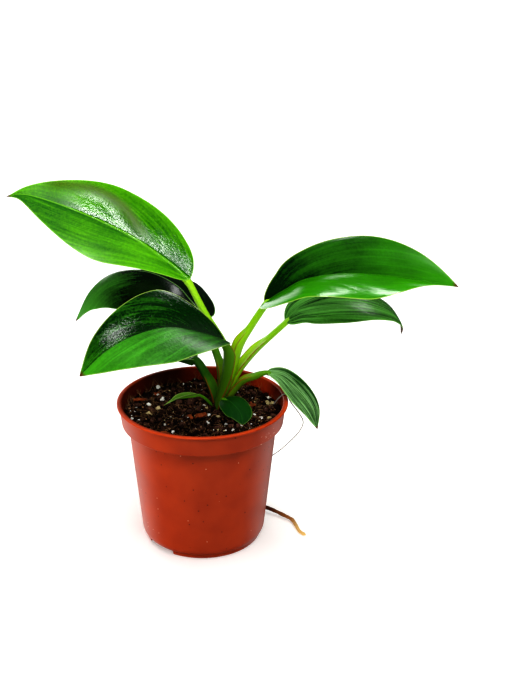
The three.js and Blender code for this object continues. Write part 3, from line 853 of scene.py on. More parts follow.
@dataclass(frozen=True)
class Earthy:
    """A dull natural stuff of many small bits: peat soil, perlite, clay, bark or root fibre. The eye gets no gloss,
    and tones that change from bit to bit and across each."""

    name: str
    dark: str
    light: str
    grain: float
    relief: float = 0.4
    roughness: float = 0.92
    fleck: str = ""
    fleck_share: float = 0.0
    shine: float = 0.15

    def make(self) -> bpy.types.Material:
        """Makes the material, which reads one tone for each bit."""
        material, tree, shader = new_material(self.name)
        place = add(tree, "TexCoord").outputs["Object"]
        tone = add(tree, "Attribute", {"attribute_name": "tone"}).outputs["Fac"]
        pattern = add(
            tree, "TexNoise", {"Scale": per_mm(self.grain), "Detail": 5.0, "Roughness": 0.7}, {"Vector": place}
        ).outputs["Fac"]
        spread = add(
            tree, "MapRange", {"From Min": 0.3, "From Max": 0.72, "To Min": -0.5, "To Max": 0.5}, {"Value": pattern}
        ).outputs[0]
        share = add(tree, "Math", {"operation": "ADD", "use_clamp": True}, {0: tone, 1: spread}).outputs[0]
        colour = add(
            tree, "Mix", {"data_type": "RGBA", 6: linear(self.dark), 7: linear(self.light)}, {0: share}
        ).outputs[2]
        if self.fleck:
            cells = add(tree, "TexVoronoi", {"Scale": per_mm(self.grain * 0.6)}, {"Vector": place})
            spare = add(tree, "SeparateColor", links={"Color": cells.outputs["Color"]}).outputs["Green"]
            chosen = add(
                tree, "Math", {"operation": "GREATER_THAN", 1: 1 - self.fleck_share}, {0: spare}
            ).outputs[0]
            colour = add(
                tree, "Mix", {"data_type": "RGBA", 7: linear(self.fleck)}, {0: chosen, 6: colour}
            ).outputs[2]
        skin = add(
            tree, "Bump", {"Strength": self.relief, "Distance": 0.5 * MM}, {"Height": pattern}
        ).outputs[0]
        set_shader(
            tree, shader, {"Roughness": self.roughness, "Specular IOR Level": self.shine},
            {"Base Color": colour, "Normal": skin},
        )
        return material


@dataclass(frozen=True)
class PaleBoard:
    """Matt white board lit from below. The eye gets an even pale ground with only the softest shadows."""

    name: str = "matt_white_board"
    tint: str = "#F7F7F5"
    glow: float = 0.2

    def make(self) -> bpy.types.Material:
        """Makes the material."""
        material, tree, shader = new_material(self.name)
        place = add(tree, "TexCoord").outputs["Object"]
        fibre = add(tree, "TexNoise", {"Scale": per_mm(2.0), "Detail": 2.0}, {"Vector": place}).outputs["Fac"]
        skin = add(tree, "Bump", {"Strength": 0.02, "Distance": 0.1 * MM}, {"Height": fibre}).outputs[0]
        set_shader(
            tree, shader,
            {"Base Color": linear(self.tint), "Roughness": 0.95, "Specular IOR Level": 0.1,
             "Emission Color": linear(self.tint), "Emission Strength": self.glow},
            {"Normal": skin},
        )
        return material


def dress(piece: bpy.types.Object, slot: Slot, *finishes: bpy.types.Material) -> bpy.types.Object:
    """Gives a piece its materials and lets it ride on the part's body.

    Args:
        piece: The piece.
        slot: The record's slot that its finish belongs to; not used.
        finishes: Its materials in order.

    Returns:
        The piece.
    """
    for finish in finishes:
        piece.data.materials.append(finish)
    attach(piece, BODY)
    return piece


# The pot


@dataclass
class NurseryPot:
    """A round nursery pot with a wide band below its lip, a foot ring with two notches, and drain holes."""

    height: float = 105
    rim_radius: float = 60.8
    wall: float = 1.3
    lip_height: float = 1.4
    band_top: float = 59.2
    band_foot: float = 57.5
    band_foot_height: float = 89.6
    wall_top: float = 53
    wall_foot: float = 44.8
    foot_radius: float = 42
    foot_height: float = 4
    foot_ring: float = 1.8
    corner_height: float = 6.5
    notch_angles: Pair = (45, 225)
    notch_half_angle: float = 17
    notch_height: float = 3.4
    drain_radius: float = 4
    drain_circle: float = 33
    drain_count: int = 8
    sides: int = 192
    finish: MouldedPolypropylene = field(default_factory=MouldedPolypropylene)

    def slope(self) -> float:
        """How much the wall's radius grows for each millimetre of height."""
        return (self.wall_top - self.wall_foot) / (self.band_foot_height - self.corner_height)

    def profile(self) -> list[Pair]:
        """The wall's section as rows of radius and height, from the axis below to the axis inside."""
        floor = self.foot_height + self.wall
        shelf = self.band_foot_height + self.wall
        lip_foot = self.height - self.lip_height
        inner_foot = self.wall_foot - self.wall + self.slope() * (floor + 2 - self.corner_height)
        ring_inside = self.foot_radius - self.foot_ring
        return filleted([
            (0, self.foot_height, 0),
            (ring_inside, self.foot_height, 0.4),
            (ring_inside, 0, 0.3),
            (self.foot_radius, 0, 0.4),
            (self.foot_radius + 0.5, self.foot_height * 0.8, 0.25),
            (self.foot_radius + 0.8, self.foot_height * 0.8, 0.1),
            (self.wall_foot - 1, self.foot_height + 0.2, 0.7),
            (self.wall_foot, self.corner_height, 1.6),
            (self.wall_top, self.band_foot_height, 0.7),
            (self.band_foot, self.band_foot_height, 0.9),
            (self.band_top, lip_foot, 0.5),
            (self.rim_radius, lip_foot, 0.5),
            (self.rim_radius, self.height, 0.75),
            (self.band_top - self.wall - 0.5, self.height, 0.7),
            (self.band_foot - self.wall, shelf, 0.8),
            (self.wall_top - self.wall, shelf, 0.6),
            (inner_foot, floor + 2, 1.0),
            (self.wall_foot - self.wall - 1.5, floor, 0.8),
            (0, floor, 0),
        ])

    def cutter(self) -> bpy.types.Object:
        """The bodies that cut the drain holes and the notches."""
        heap = Heap()
        for i in range(self.drain_count + 1):
            angle = math.radians(self.notch_angles[0] + i * 360 / self.drain_count)
            circle = self.drain_circle if i < self.drain_count else 0
            profile = [(0, 0), (self.drain_radius, 0), (self.drain_radius, 4 * self.wall), (0, 4 * self.wall)]
            points, faces = turned(profile, 32)
            shift = (circle * math.cos(angle), circle * math.sin(angle), self.foot_height - 2 * self.wall)
            heap.add(points + shift, faces, 0)
        half_width = self.foot_radius * math.sin(math.radians(self.notch_half_angle))
        for degrees in self.notch_angles:
            outline = [
                (-half_width, -1.0), (half_width, -1.0), (half_width, self.notch_height * 0.7),
                (half_width - 1.2, self.notch_height), (1.2 - half_width, self.notch_height),
                (-half_width, self.notch_height * 0.7),
            ]
            near, far = self.foot_radius - 3 * self.foot_ring, self.foot_radius + 2 * self.foot_ring
            points = np.array([(r, y, z) for r in (near, far) for y, z in outline])
            turn = np.array(Matrix.Rotation(math.radians(degrees), 3, "Z"))
            count = len(outline)
            faces = [tuple(range(count)), tuple(range(2 * count - 1, count - 1, -1))]
            faces += [(k, (k + 1) % count, count + (k + 1) % count, count + k) for k in range(count)]
            heap.add(points @ turn.T, faces, 0)
        return heap.piece("pot_cutter")

    def build(self) -> bpy.types.Object:
        """Turns the wall, cuts it, and keeps each point's height and turn for the finish."""
        points, faces = turned(self.profile(), self.sides)
        shell = new_piece("pot_shell", points, faces)
        cutter = self.cutter()
        cut = shell.modifiers.new("cut", "BOOLEAN")
        cut.operation = "DIFFERENCE"
        cut.object = cutter
        cut.solver = "EXACT"
        view = bpy.context.evaluated_depsgraph_get()
        mesh = bpy.data.meshes.new_from_object(shell.evaluated_get(view))
        shell.modifiers.clear()
        shell.data = mesh
        bpy.data.objects.remove(cutter)
        co = np.zeros(len(mesh.vertices) * 3)
        mesh.vertices.foreach_get("co", co)
        co = (co.reshape(-1, 3) - POT_AXIS) / MM
        heights = mesh.attributes.new("height_mm", "FLOAT", "POINT")
        heights.data.foreach_set("value", co[:, 2].astype(np.float32))
        turns = mesh.attributes.new("turn_deg", "FLOAT", "POINT")
        turns.data.foreach_set("value", np.degrees(np.arctan2(co[:, 1], co[:, 0])).astype(np.float32))
        # Marks the inner wall above the soil for painted shade, at half strength.
        far = np.hypot(co[:, 0], co[:, 1])
        inside = (far < self.band_foot - self.wall / 2 + (co[:, 2] - self.band_foot_height) * 0.1) & (co[:, 2] > 90)
        stain = mesh.attributes.new("stain", "FLOAT", "POINT")
        stain.data.foreach_set("value", (0.5 * inside).astype(np.float32))
        shade(mesh, 32)
        dress(shell, Slot.POT, self.finish.make())
        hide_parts("pot")
        return shell


# The soil


@dataclass
class Soil:
    """Peat soil with perlite, clay and bark bits, loose fibres and the fine roots that creep up the wall."""

    top: float = 95.5
    bump: float = 1.3
    floor: float = 5.65
    edge: float = 55.85
    wall_foot: float = 43.15
    wall_top: float = 51.35
    shelf: float = 91.25
    crown: Pair = (14, 13)
    mound: float = 1.6
    mound_reach: float = 12.2
    rings: int = 84
    spokes: int = 288
    crumbs: int = 1300
    fibres: int = 520
    wall_hairs: int = 90
    seed: int = 5

    peat: Earthy = Earthy("damp_peat_soil", "#080402", "#33221A", 2.4, 0.7, fleck="#6A4A34", fleck_share=0.04)
    crumb: Earthy = Earthy("peat_crumbs", "#0C0604", "#64463A", 1.6, 0.6, fleck="#8A6848", fleck_share=0.05)
    perlite: Earthy = Earthy("expanded_perlite", "#C9C4B4", "#FFFFFA", 1.0, 0.5, 0.8)
    clay: Earthy = Earthy("expanded_clay_bits", "#9A8458", "#D9C896", 1.2, 0.5)
    bark: Earthy = Earthy("pine_bark", "#4A1D0C", "#A85A34", 2.2, 0.8, 0.8)
    fibre: Earthy = Earthy("dry_root_fibre", "#3A2416", "#A98561", 3.0, 0.2)

    # Waves of the soil's top: height as a share of the bump, rate along x, rate along y and start, in radians
    WAVES = (
        (0.5, 0.13, 0.11, 0.7), (0.5, 0.13, -0.11, 1.5), (0.6, 0.27, -0.21, 2),
        (0.22, 0.61, -0.57, 4.17), (0.22, 0.61, 0.57, -2.37),
    )

    # Bits that stand out, as x, y and half size in the pot's frame
    PERLITE = (
        (-39.2, 4.5, 1.5), (-35.7, 40.0, 1.7), (-44.4, -13.7, 1.3), (-19.4, -33.2, 1.3), (4.7, -5.6, 1.3),
        (3.8, -15.3, 1.4), (-13.6, -7.9, 0.8), (-9.0, 51.5, 1.1), (-30.6, 17.4, 1.7), (47.3, 25.5, 1.6),
        (36.7, -7.9, 1.3), (41.5, -9.5, 1.6), (35.1, -22.2, 1.2), (-49.1, -12.6, 1.1), (17.1, -16.5, 1.1),
        (-34.6, 28.0, 1.2), (-47.5, 2.0, 0.9), (-25.0, -25.5, 0.9), (-4.0, -27.0, 0.9), (22.5, -31.0, 1.0),
        (0.5, 2.5, 1.2), (28.0, -26.0, 0.9), (31.0, 33.0, 1.0), (9.0, 41.0, 1.0), (-17.0, 43.0, 0.9),
    )
    CLAY = (
        (-32.2, 3.0, 1.7), (-37.7, -7.0, 1.7), (46.5, 17.0, 1.9), (49.5, 12.5, 1.5), (47.3, -10.8, 1.6),
        (2.3, 0.8, 1.6), (30.0, -10.0, 1.9), (21.0, 43.0, 1.4), (11.5, -9.5, 1.3), (-2.0, 30.0, 1.3),
    )
    # Bark bits as x, y, half length, half width and turn in degrees
    BARK = (
        (-46.5, 15.0, 5.2, 2.4, 35), (-2.0, -9.5, 5.6, 2.2, 10), (-8.5, -13.5, 3.2, 1.8, -50),
        (34.3, 12.0, 4.3, 3.2, 20), (-35.0, 30.0, 3.6, 1.6, 60), (19.5, 38.0, 4.5, 2.2, -20),
        (-24.0, -38.0, 4.0, 1.8, 15),
    )

    def height(self, x: np.ndarray, y: np.ndarray) -> np.ndarray:
        """Height of the soil: crossing waves and a low mound round the crown.

        Args:
            x: Places across.
            y: Places in depth.

        Returns:
            The height at each place.
        """
        waves = sum(share * np.sin(rate_x * x + rate_y * y + start) for share, rate_x, rate_y, start in self.WAVES)
        away = np.hypot(x - self.crown[0], y - self.crown[1]) / self.mound_reach
        return self.top + self.bump * waves + self.mound * np.exp(-(away ** 2))

    def rough_height(self, x: float, y: float) -> float:
        """The same with the clods and crumbs that only show close by."""
        clods = 2.0 * wobble((x, y, 0), 7.0, 3.0) + 1.5 * wobble((x, y, 5), 3.2, 9.0)
        crumbs = 0.6 * wobble((x, y, 9), 1.5, 4.0)
        return float(self.height(np.float64(x), np.float64(y))) + clods + crumbs

    def bed(self) -> bpy.types.Object:
        """The soil's own body, filled down to the pot's floor."""
        profile = [
            (0, self.floor), (self.wall_foot - 1.5, self.floor), (self.wall_foot, self.floor + 2),
            (self.wall_top, self.shelf), (self.edge, self.shelf),
        ]
        points, _ = turned(profile, self.spokes)
        angles = 2 * np.pi * np.arange(self.spokes) / self.spokes
        rows = [points]
        for i in range(self.rings + 1):
            radius = self.edge * (1 - i / self.rings)
            spots = [(radius * math.cos(a), radius * math.sin(a)) for a in angles]
            rows.append(np.array([(x, y, self.rough_height(x, y)) for x, y in spots]))
        everything = np.vstack(rows)
        faces = grid_faces(len(profile) + self.rings + 1, self.spokes, closed=True)
        tones = [0.3 + 0.35 * wobble(tuple(p), 6.0, 2.0) for p in everything]
        made = new_piece("soil_bed", everything, faces, {"tone": np.array(tones)})
        dress(made, Slot.SOIL, self.peat.make())
        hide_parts("soil")
        return made

    def spots(self, draw: random.Random, count: int, inside: float) -> list[Pair]:
        """Places spread evenly over the soil.

        Args:
            draw: Where the draws come from.
            count: How many places.
            inside: How far from the wall they stay.

        Returns:
            Rows of x and y.
        """
        made = []
        for _ in range(count):
            radius = (self.edge - inside) * math.sqrt(draw.random())
            angle = 2 * math.pi * draw.random()
            made.append((radius * math.cos(angle), radius * math.sin(angle)))
        return made

    def crumb_heap(self) -> bpy.types.Object:
        """Loose peat crumbs."""
        draw = random.Random(self.seed)
        shape = ball(2)
        heap = Heap()
        for x, y in self.spots(draw, self.crumbs, 1.0):
            size = 0.45 + 1.9 * draw.random() ** 3
            sizes = (size * draw.uniform(0.8, 1.4), size * draw.uniform(0.7, 1.1), size * draw.uniform(0.5, 0.9))
            turn = (draw.uniform(-0.6, 0.6), draw.uniform(-0.6, 0.6), draw.uniform(0, math.tau))
            centre = (x, y, self.rough_height(x, y) + 0.15 * size)
            points = lump(shape, centre, sizes, turn, 0.55, draw.uniform(0, 90))
            heap.add(points, shape[1], draw.uniform(0.0, 0.75))
        return dress(heap.piece("soil_crumbs"), Slot.SOIL, self.crumb.make())

    def grains(self, name: str, finish: Earthy, bits: tuple, extra: int, seed: int) -> bpy.types.Object:
        """Perlite or clay bits: the ones that stand out and small ones between them.

        Args:
            name: The piece's name.
            finish: Its finish.
            bits: Rows of x, y and half size.
            extra: How many small ones.
            seed: Starts the draws.

        Returns:
            The piece.
        """
        draw = random.Random(seed)
        shape = ball(3)
        small = [(x, y, draw.uniform(0.3, 0.7)) for x, y in self.spots(draw, extra, 2.0)]
        heap = Heap()
        for x, y, size in (*bits, *small):
            sizes = (size * draw.uniform(0.85, 1.2), size * draw.uniform(0.8, 1.05), size * draw.uniform(0.65, 0.9))
            turn = (draw.uniform(-0.5, 0.5), draw.uniform(-0.5, 0.5), draw.uniform(0, math.tau))
            centre = (x, y, self.rough_height(x, y) + 0.35 * size)
            heap.add(lump(shape, centre, sizes, turn, 0.7, draw.uniform(0, 90)), shape[1], draw.uniform(0.3, 0.9))
        return dress(heap.piece(name), Slot.SOIL, finish.make())

    def bark_chips(self) -> bpy.types.Object:
        """Thin bits of bark that curl up along both sides."""
        draw = random.Random(self.seed + 3)
        round_points, faces = ball(3)
        curled = round_points + np.stack([round_points[:, 0] * 0, round_points[:, 0] * 0, round_points[:, 1] ** 2], -1)
        shape = (curled, faces)
        heap = Heap()
        for x, y, long, wide, degrees in self.BARK:
            turn = (draw.uniform(-0.35, 0.35), draw.uniform(-0.25, 0.25), math.radians(degrees))
            centre = (x, y, self.rough_height(x, y) + 0.8)
            heap.add(lump(shape, centre, (long, wide, 0.95), turn, 0.5, draw.uniform(0, 90)), shape[1], 0.55)
        return dress(heap.piece("bark_chips"), Slot.SOIL, self.bark.make())

    def fibre_heap(self) -> bpy.types.Object:
        """Loose fibres on the soil and fine roots that stand up against the pot's wall."""
        draw = random.Random(self.seed + 7)
        heap = Heap()
        for x, y in self.spots(draw, self.fibres, 3.0):
            length = draw.uniform(3.0, 11.0)
            heading = draw.uniform(0, math.tau)
            lift = draw.uniform(-0.02, 0.3)
            route = []
            for _ in range(5):
                route.append((x, y, self.rough_height(x, y) + 0.25 + lift))
                heading += draw.uniform(-0.7, 0.7)
                x = float(np.clip(x + math.cos(heading) * length / 4, -38, 38))
                y = float(np.clip(y + math.sin(heading) * length / 4, -38, 38))
                lift += draw.uniform(-0.3, 0.5)
            self.strand(heap, route, draw.uniform(0.09, 0.22), draw.uniform(0.0, 0.8))
        for _ in range(self.wall_hairs):
            angle = math.radians(draw.choice((draw.gauss(112, 22), draw.gauss(62, 16), draw.gauss(160, 14))))
            foot = self.edge - draw.uniform(0.5, 4.5)
            rise = draw.uniform(2.0, 7.5)
            route = []
            for k in range(5):
                radius = foot + (self.edge + 0.3 - foot) * min(1.0, k / 3)
                angle += draw.uniform(-0.045, 0.045)
                spot = (radius * math.cos(angle), radius * math.sin(angle))
                route.append((*spot, self.rough_height(*spot) + rise * k / 4))
            self.strand(heap, route, draw.uniform(0.07, 0.14), draw.uniform(0.3, 1.0))
        return dress(heap.piece("rootlets"), Slot.SOIL, self.fibre.make())

    def strand(self, heap: Heap, route: list[Triple], radius: float, tone: float) -> None:
        """Adds one fibre to a heap.

        Args:
            heap: Where it goes.
            route: The points that it passes.
            radius: Its radius in its thick half.
            tone: Its tone.
        """
        radii = radius * np.linspace(1.0, 0.45, 11)
        points, faces, _ = tube(Axis(route), radii, 5)
        heap.add(points, faces, tone)

    def build(self) -> list[bpy.types.Object]:
        """Builds the bed and all that lies on it."""
        return [
            self.bed(),
            self.crumb_heap(),
            self.grains("perlite_grains", self.perlite, self.PERLITE, 46, self.seed + 1),
            self.grains("clay_grains", self.clay, self.CLAY, 30, self.seed + 2),
            self.bark_chips(),
            self.fibre_heap(),
        ]


# The plant


@dataclass(frozen=True)
class Sheath:
    """The flat lower part of a stalk that clasps the stem: where it ends, its half width below and above, in
    millimetres, and how far it wraps round, in degrees."""

    end: float
    arc: Pair
    wrap: float


@dataclass(frozen=True)
class LeafShape:
    """A leaf's form. The side with the minus sign is the left one of a blade seen from its stalk, and pairs are for
    left and right. Rows of angles run from the blade's base to its tip: roll turns the blade about its rib, fold
    lifts a half from the rib and curl bends it back down by its margin. Turn twists the stalk's foot in degrees, and
    neck is how much of its thickness the stalk keeps where it meets the blade."""

    stalk: tuple[Triple, ...]
    rib: tuple[Triple, ...]
    width: Pair
    lobe: Pair
    widest: Pair
    full: Pair
    shoulder: Pair
    taper: float
    roll: Triple
    fold: tuple[Triple, Triple]
    curl: Triple
    radius: Pair
    sheath: Sheath
    turn: float = 0.0
    wave: float = 0.5
    raised_rib: float = 0.0
    ridge: tuple[Pair, ...] = ()
    ridge_height: float = 0.0
    knuckle: float = 0.06
    neck: float = 1.0


class Leaf:
    """One leaf: its blade and its stalk as one piece with two finishes."""

    SPREAD = 1.9
    THICKNESS = 0.7
    EDGE_THICKNESS = 0.28
    RIB_DEPTH = 1.1
    ROWS = 112
    COLUMNS = 22
    RING = 20

    def __init__(self, name: str, shape: LeafShape, flesh: LeafFlesh, stalk: StalkFlesh, slot: Slot) -> None:
        """Takes the leaf's form and finishes.

        Args:
            name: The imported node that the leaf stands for.
            shape: Its form.
            flesh: The blade's finish.
            stalk: The stalk's finish.
            slot: The record's slot.
        """
        self.name = name
        self.shape = shape
        self.flesh = flesh
        self.stalk_flesh = stalk
        self.slot = slot
        self.axis = Axis(list(shape.rib))
        self.length = self.axis.length
        _, _, normal, side = self.axis.at(np.array([0.0, 4.0, 16.0]))
        roll = math.radians(shape.roll[0])
        under = normal * math.cos(roll) - side * math.sin(roll)
        on_rib = self.axis.at(np.array([0.0, 4.0, 16.0]))[0]
        joint = on_rib[1] - under[1] * shape.radius[1] * 0.6
        self.stem = Axis([*shape.stalk, tuple(joint)], len(shape.stalk) - 1)
        beyond = on_rib[2] - under[2] * shape.radius[1] * 0.35
        self.root_end = (joint, beyond)

    def outline(self, side: int, s: np.ndarray) -> np.ndarray:
        """Outline of one half of the flat blade.

        Args:
            side: -1 for the left half and 1 for the right one.
            s: From 0 at the stalk round the lobe to 1 at the tip.

        Returns:
            Points along and across the blade.
        """
        shape = self.shape
        hand = 0 if side < 0 else 1
        width = shape.width[hand]
        widest = shape.widest[hand] * self.length
        base = bezier(
            [(0, 0), (-1.35 * shape.lobe[hand], 0.35 * width), (widest * (1 - shape.full[hand]), width),
             (widest, width)],
            np.clip(s / 0.4, 0, 1),
        )
        tip = bezier(
            [(widest, width), (widest + shape.shoulder[hand] * (self.length - widest), width),
             (self.length * (1 - shape.taper), 0.12 * width), (self.length, 0)],
            np.clip((s - 0.4) / 0.6, 0, 1),
        )
        return np.where((s < 0.4)[..., None], base, tip)

    def flat(self, side: int, s: np.ndarray, t: np.ndarray) -> np.ndarray:
        """Points of the flat blade on its side veins.

        Args:
            side: The half.
            s: Which vein, from 0 at the base to 1 at the tip.
            t: How far along the vein, from 0 at the rib to 1 at the margin.

        Returns:
            Points along and across the blade.
        """
        end = self.outline(side, s)
        start = self.length * s ** self.SPREAD
        middle = np.stack([start + (end[..., 0] - start) * 0.45, end[..., 1] * 0.5], -1)
        first = np.stack([start, np.zeros_like(start)], -1)
        u = t[..., None]
        return (1 - u) ** 2 * first + 2 * u * (1 - u) * middle + u * u * end

    def placed(self, side: int, flat: np.ndarray) -> tuple[np.ndarray, np.ndarray]:
        """Bends flat points into space.

        Args:
            side: The half.
            flat: Points along and across the blade.

        Returns:
            Points in the pot's frame and the way out of the blade's upper face there.
        """
        shape = self.shape
        share = flat[..., 0] / self.length
        point, _, normal, beside = self.axis.at(flat[..., 0])
        roll = np.radians(ramp(shape.roll, share))[..., None]
        across = beside * np.cos(roll) + normal * np.sin(roll)
        up = normal * np.cos(roll) - beside * np.sin(roll)
        hand = 0 if side < 0 else 1
        fold = np.radians(ramp(shape.fold[hand], share))
        bend = np.radians(ramp(shape.curl, share)) / shape.width[hand]
        angle = fold - bend * flat[..., 1]
        out = (np.sin(fold) - np.sin(angle)) / bend
        lift = (np.cos(angle) - np.cos(fold)) / bend
        face = (angle * soft_step(flat[..., 1], 0.0, 1.2))[..., None]
        placed = point + across * (side * out)[..., None] + up * lift[..., None]
        return placed, up * np.cos(face) - across * side * np.sin(face)

    def ridge_share(self, side: int, flat: np.ndarray) -> tuple[np.ndarray, np.ndarray]:
        """How near points are to the fold that crosses the right half.

        Args:
            side: The half.
            flat: Points along and across the blade.

        Returns:
            The fold's height there from 0 to 1, and the strength of the painted shade along it.
        """
        if side < 0 or not self.shape.ridge:
            return np.zeros(flat.shape[:-1]), np.zeros(flat.shape[:-1])
        line = np.array(self.shape.ridge)
        best = np.full(flat.shape[:-1], 1e9)
        sign = np.ones(flat.shape[:-1])
        fade = np.zeros(flat.shape[:-1])
        for i, (a, b) in enumerate(zip(line, line[1:])):
            way = b - a
            share = np.clip(((flat - a) @ way) / (way @ way), 0, 1)
            off = flat - (a + share[..., None] * way)
            far = np.linalg.norm(off, axis=-1)
            turned_side = np.sign(way[0] * off[..., 1] - way[1] * off[..., 0])
            nearer = far < best
            best = np.where(nearer, far, best)
            sign = np.where(nearer, turned_side, sign)
            fade = np.where(nearer, (i + share) / (len(line) - 1), fade)
        wide = np.where(sign > 0, 9.0, 5.0)
        ends = soft_step(fade, 0.0, 0.25) * (1 - soft_step(fade, 0.55, 0.9))
        height = np.exp(-(best / wide) ** 2) * ends
        # Painted shade along the fold, which fades out at both of its ends.
        spread = np.where(sign > 0, 3.0, 5.0)
        tint = np.exp(-(best / spread) ** 2) * soft_step(fade, 0.02, 0.2) * (1 - soft_step(fade, 0.85, 1.0))
        return height, tint

    def blade(self) -> tuple[np.ndarray, list, dict[str, np.ndarray]]:
        """The blade with both faces, its rib below, its side veins pressed in and its margin waved.

        Returns:
            Points, faces and the numbers for its finish.
        """
        shape = self.shape
        s = np.linspace(0, 1, self.ROWS)
        half = np.concatenate([np.linspace(0, 1, self.COLUMNS) ** 1.5 * 0.975, [0.99, 1.0]])
        signed = np.concatenate([-half[:0:-1], half])
        count = len(signed)
        grid_s = np.repeat(s[:, None], count, 1)
        grid_t = np.abs(np.repeat(signed[None, :], len(s), 0))
        point = np.zeros((*grid_s.shape, 3))
        up = np.zeros_like(point)
        flat = np.zeros((*grid_s.shape, 2))
        height = np.zeros_like(grid_s)
        tint = np.zeros_like(grid_s)
        to_edge = np.zeros_like(grid_s)
        for side, where in ((-1, signed < 0), (1, signed >= 0)):
            here = self.flat(side, grid_s[:, where], grid_t[:, where])
            flat[:, where] = here
            point[:, where], up[:, where] = self.placed(side, here)
            height[:, where], tint[:, where] = self.ridge_share(side, here)
            to_edge[:, where] = self.edge_distance(side, here)
        along = flat[..., 0] / self.length
        rib_share = 1 - np.clip(along, 0, 1) ** (1 / self.SPREAD)
        hand = np.repeat(np.where(signed < 0, -1.0, 1.0)[None, :], len(s), 0)
        size = max(shape.width) / 30
        veins = np.abs(np.sin(np.pi * grid_s * 13 + 0.5 * hand)) ** 0.6 - 0.6
        quilt = 0.09 * size * veins * np.sin(np.pi * np.clip(grid_t, 0, 1)) ** 0.7 * soft_step(grid_s, 0.03, 0.15)
        quilt *= 1 - soft_step(grid_s, 0.8, 0.97)
        waves = shape.wave * size * grid_t ** 3 * np.sin(grid_s * 17 + hand * 1.3 + shape.width[0])
        waves *= soft_step(grid_s, 0.08, 0.25) * (1 - soft_step(grid_s, 0.82, 0.97))
        point = point + up * (quilt + waves + shape.ridge_height * height)[..., None]
        off_rib = flat[..., 1]
        rib_wide = 0.25 + shape.radius[1] * 0.85 * rib_share
        round_rib = np.sqrt(np.clip(1 - (off_rib / rib_wide) ** 2, 0, 1))
        groove = np.exp(-(off_rib / (0.45 * rib_wide + 0.25)) ** 2)
        body = self.EDGE_THICKNESS + (self.THICKNESS - self.EDGE_THICKNESS) * soft_step(to_edge, 0.0, 2.5)
        above = body / 2 + (shape.raised_rib * round_rib - 0.25 * groove * (shape.raised_rib == 0)) * rib_share
        below = body / 2 + self.RIB_DEPTH * shape.radius[1] * rib_share * round_rib
        top = point + up * above[..., None]
        bottom = point - up * below[..., None]
        points = np.vstack([top.reshape(-1, 3), bottom.reshape(-1, 3)])
        rows, total = len(s), len(s) * count
        faces = grid_faces(rows, count) + grid_faces(rows, count, start=total, flip=True)
        for i in range(rows - 1):
            for k in (0, count - 1):
                a, b = i * count + k, (i + 1) * count + k
                faces.append((a, b, b + total, a + total) if k == 0 else (b, a, a + total, b + total))
        # ridge keeps the strength of the painted shade along the fold.
        fields = {
            "vein": grid_s, "half": grid_t, "hand": hand, "rib_mm": off_rib, "edge_mm": to_edge,
            "along": along, "ridge": tint * 0.75,
        }
        kept = {key: np.tile(values.ravel(), 2) for key, values in fields.items()}
        kept["under"] = np.repeat([0.0, 0.85], total)
        return points, faces, kept

    def edge_distance(self, side: int, flat: np.ndarray) -> np.ndarray:
        """Distance of flat points to their half's outline.

        Args:
            side: The half.
            flat: Points along and across the blade.

        Returns:
            The distances in millimetres.
        """
        line = self.outline(side, np.linspace(0, 1, 2000))
        tree = KDTree(len(line))
        for i, (x, y) in enumerate(line):
            tree.insert((x, y, 0), i)
        tree.balance()
        found = [tree.find((x, y, 0))[2] for x, y in flat.reshape(-1, 2)]
        return np.array(found).reshape(flat.shape[:-1])

    def section(self, share: float) -> tuple[np.ndarray, np.ndarray, np.ndarray]:
        """Ring of a stalk: a crescent in the sheath, a round with a flat top above it.

        Args:
            share: How far up the stalk, from 0 to 1.

        Returns:
            Points to the side and up, how far each is across from -1 to 1, and 1 for the inner row.
        """
        shape = self.shape
        end, arc, wrap = shape.sheath.end, shape.sheath.arc, shape.sheath.wrap
        above = float(soft_step(np.float64(share), end - 0.14, end + 0.05))
        half = math.radians(wrap) / 2
        bend = (arc[0] + (arc[1] - arc[0]) * min(share / end, 1)) / half
        swell = 1 + shape.knuckle * math.exp(-(((share - 0.96) / 0.02) ** 2))
        neck = 1 - (1 - shape.neck) * float(soft_step(np.float64(share), 0.72, 1.0))
        round_radius = (shape.radius[0] + (shape.radius[1] - shape.radius[0]) * share) * swell * neck
        v = np.linspace(-1, 1, self.RING)
        angle = v * half
        thick = shape.radius[0] * 0.62 + (0.3 - shape.radius[0] * 0.62) * np.abs(v) ** 1.5
        turn = math.radians(110) * v
        outer = np.stack([np.sin(angle) * (bend + thick), bend - np.cos(angle) * (bend + thick)], -1)
        inner = np.stack([np.sin(angle) * (bend - thick), bend - np.cos(angle) * (bend - thick)], -1)
        under = np.stack([round_radius * np.sin(turn), -round_radius * np.cos(turn)], -1)
        top = np.stack(
            [round_radius * math.sin(math.radians(110)) * v * 0.98, round_radius * (0.36 + 0.28 * (1 - v * v))], -1
        )
        first = outer + (under - outer) * above
        second = (inner + (top - inner) * above)[::-1]
        ring = np.vstack([first, second])
        across = np.concatenate([v, v[::-1]])
        inside = np.repeat([0.0, 1.0], self.RING)
        return ring, across, inside * (1 - above)

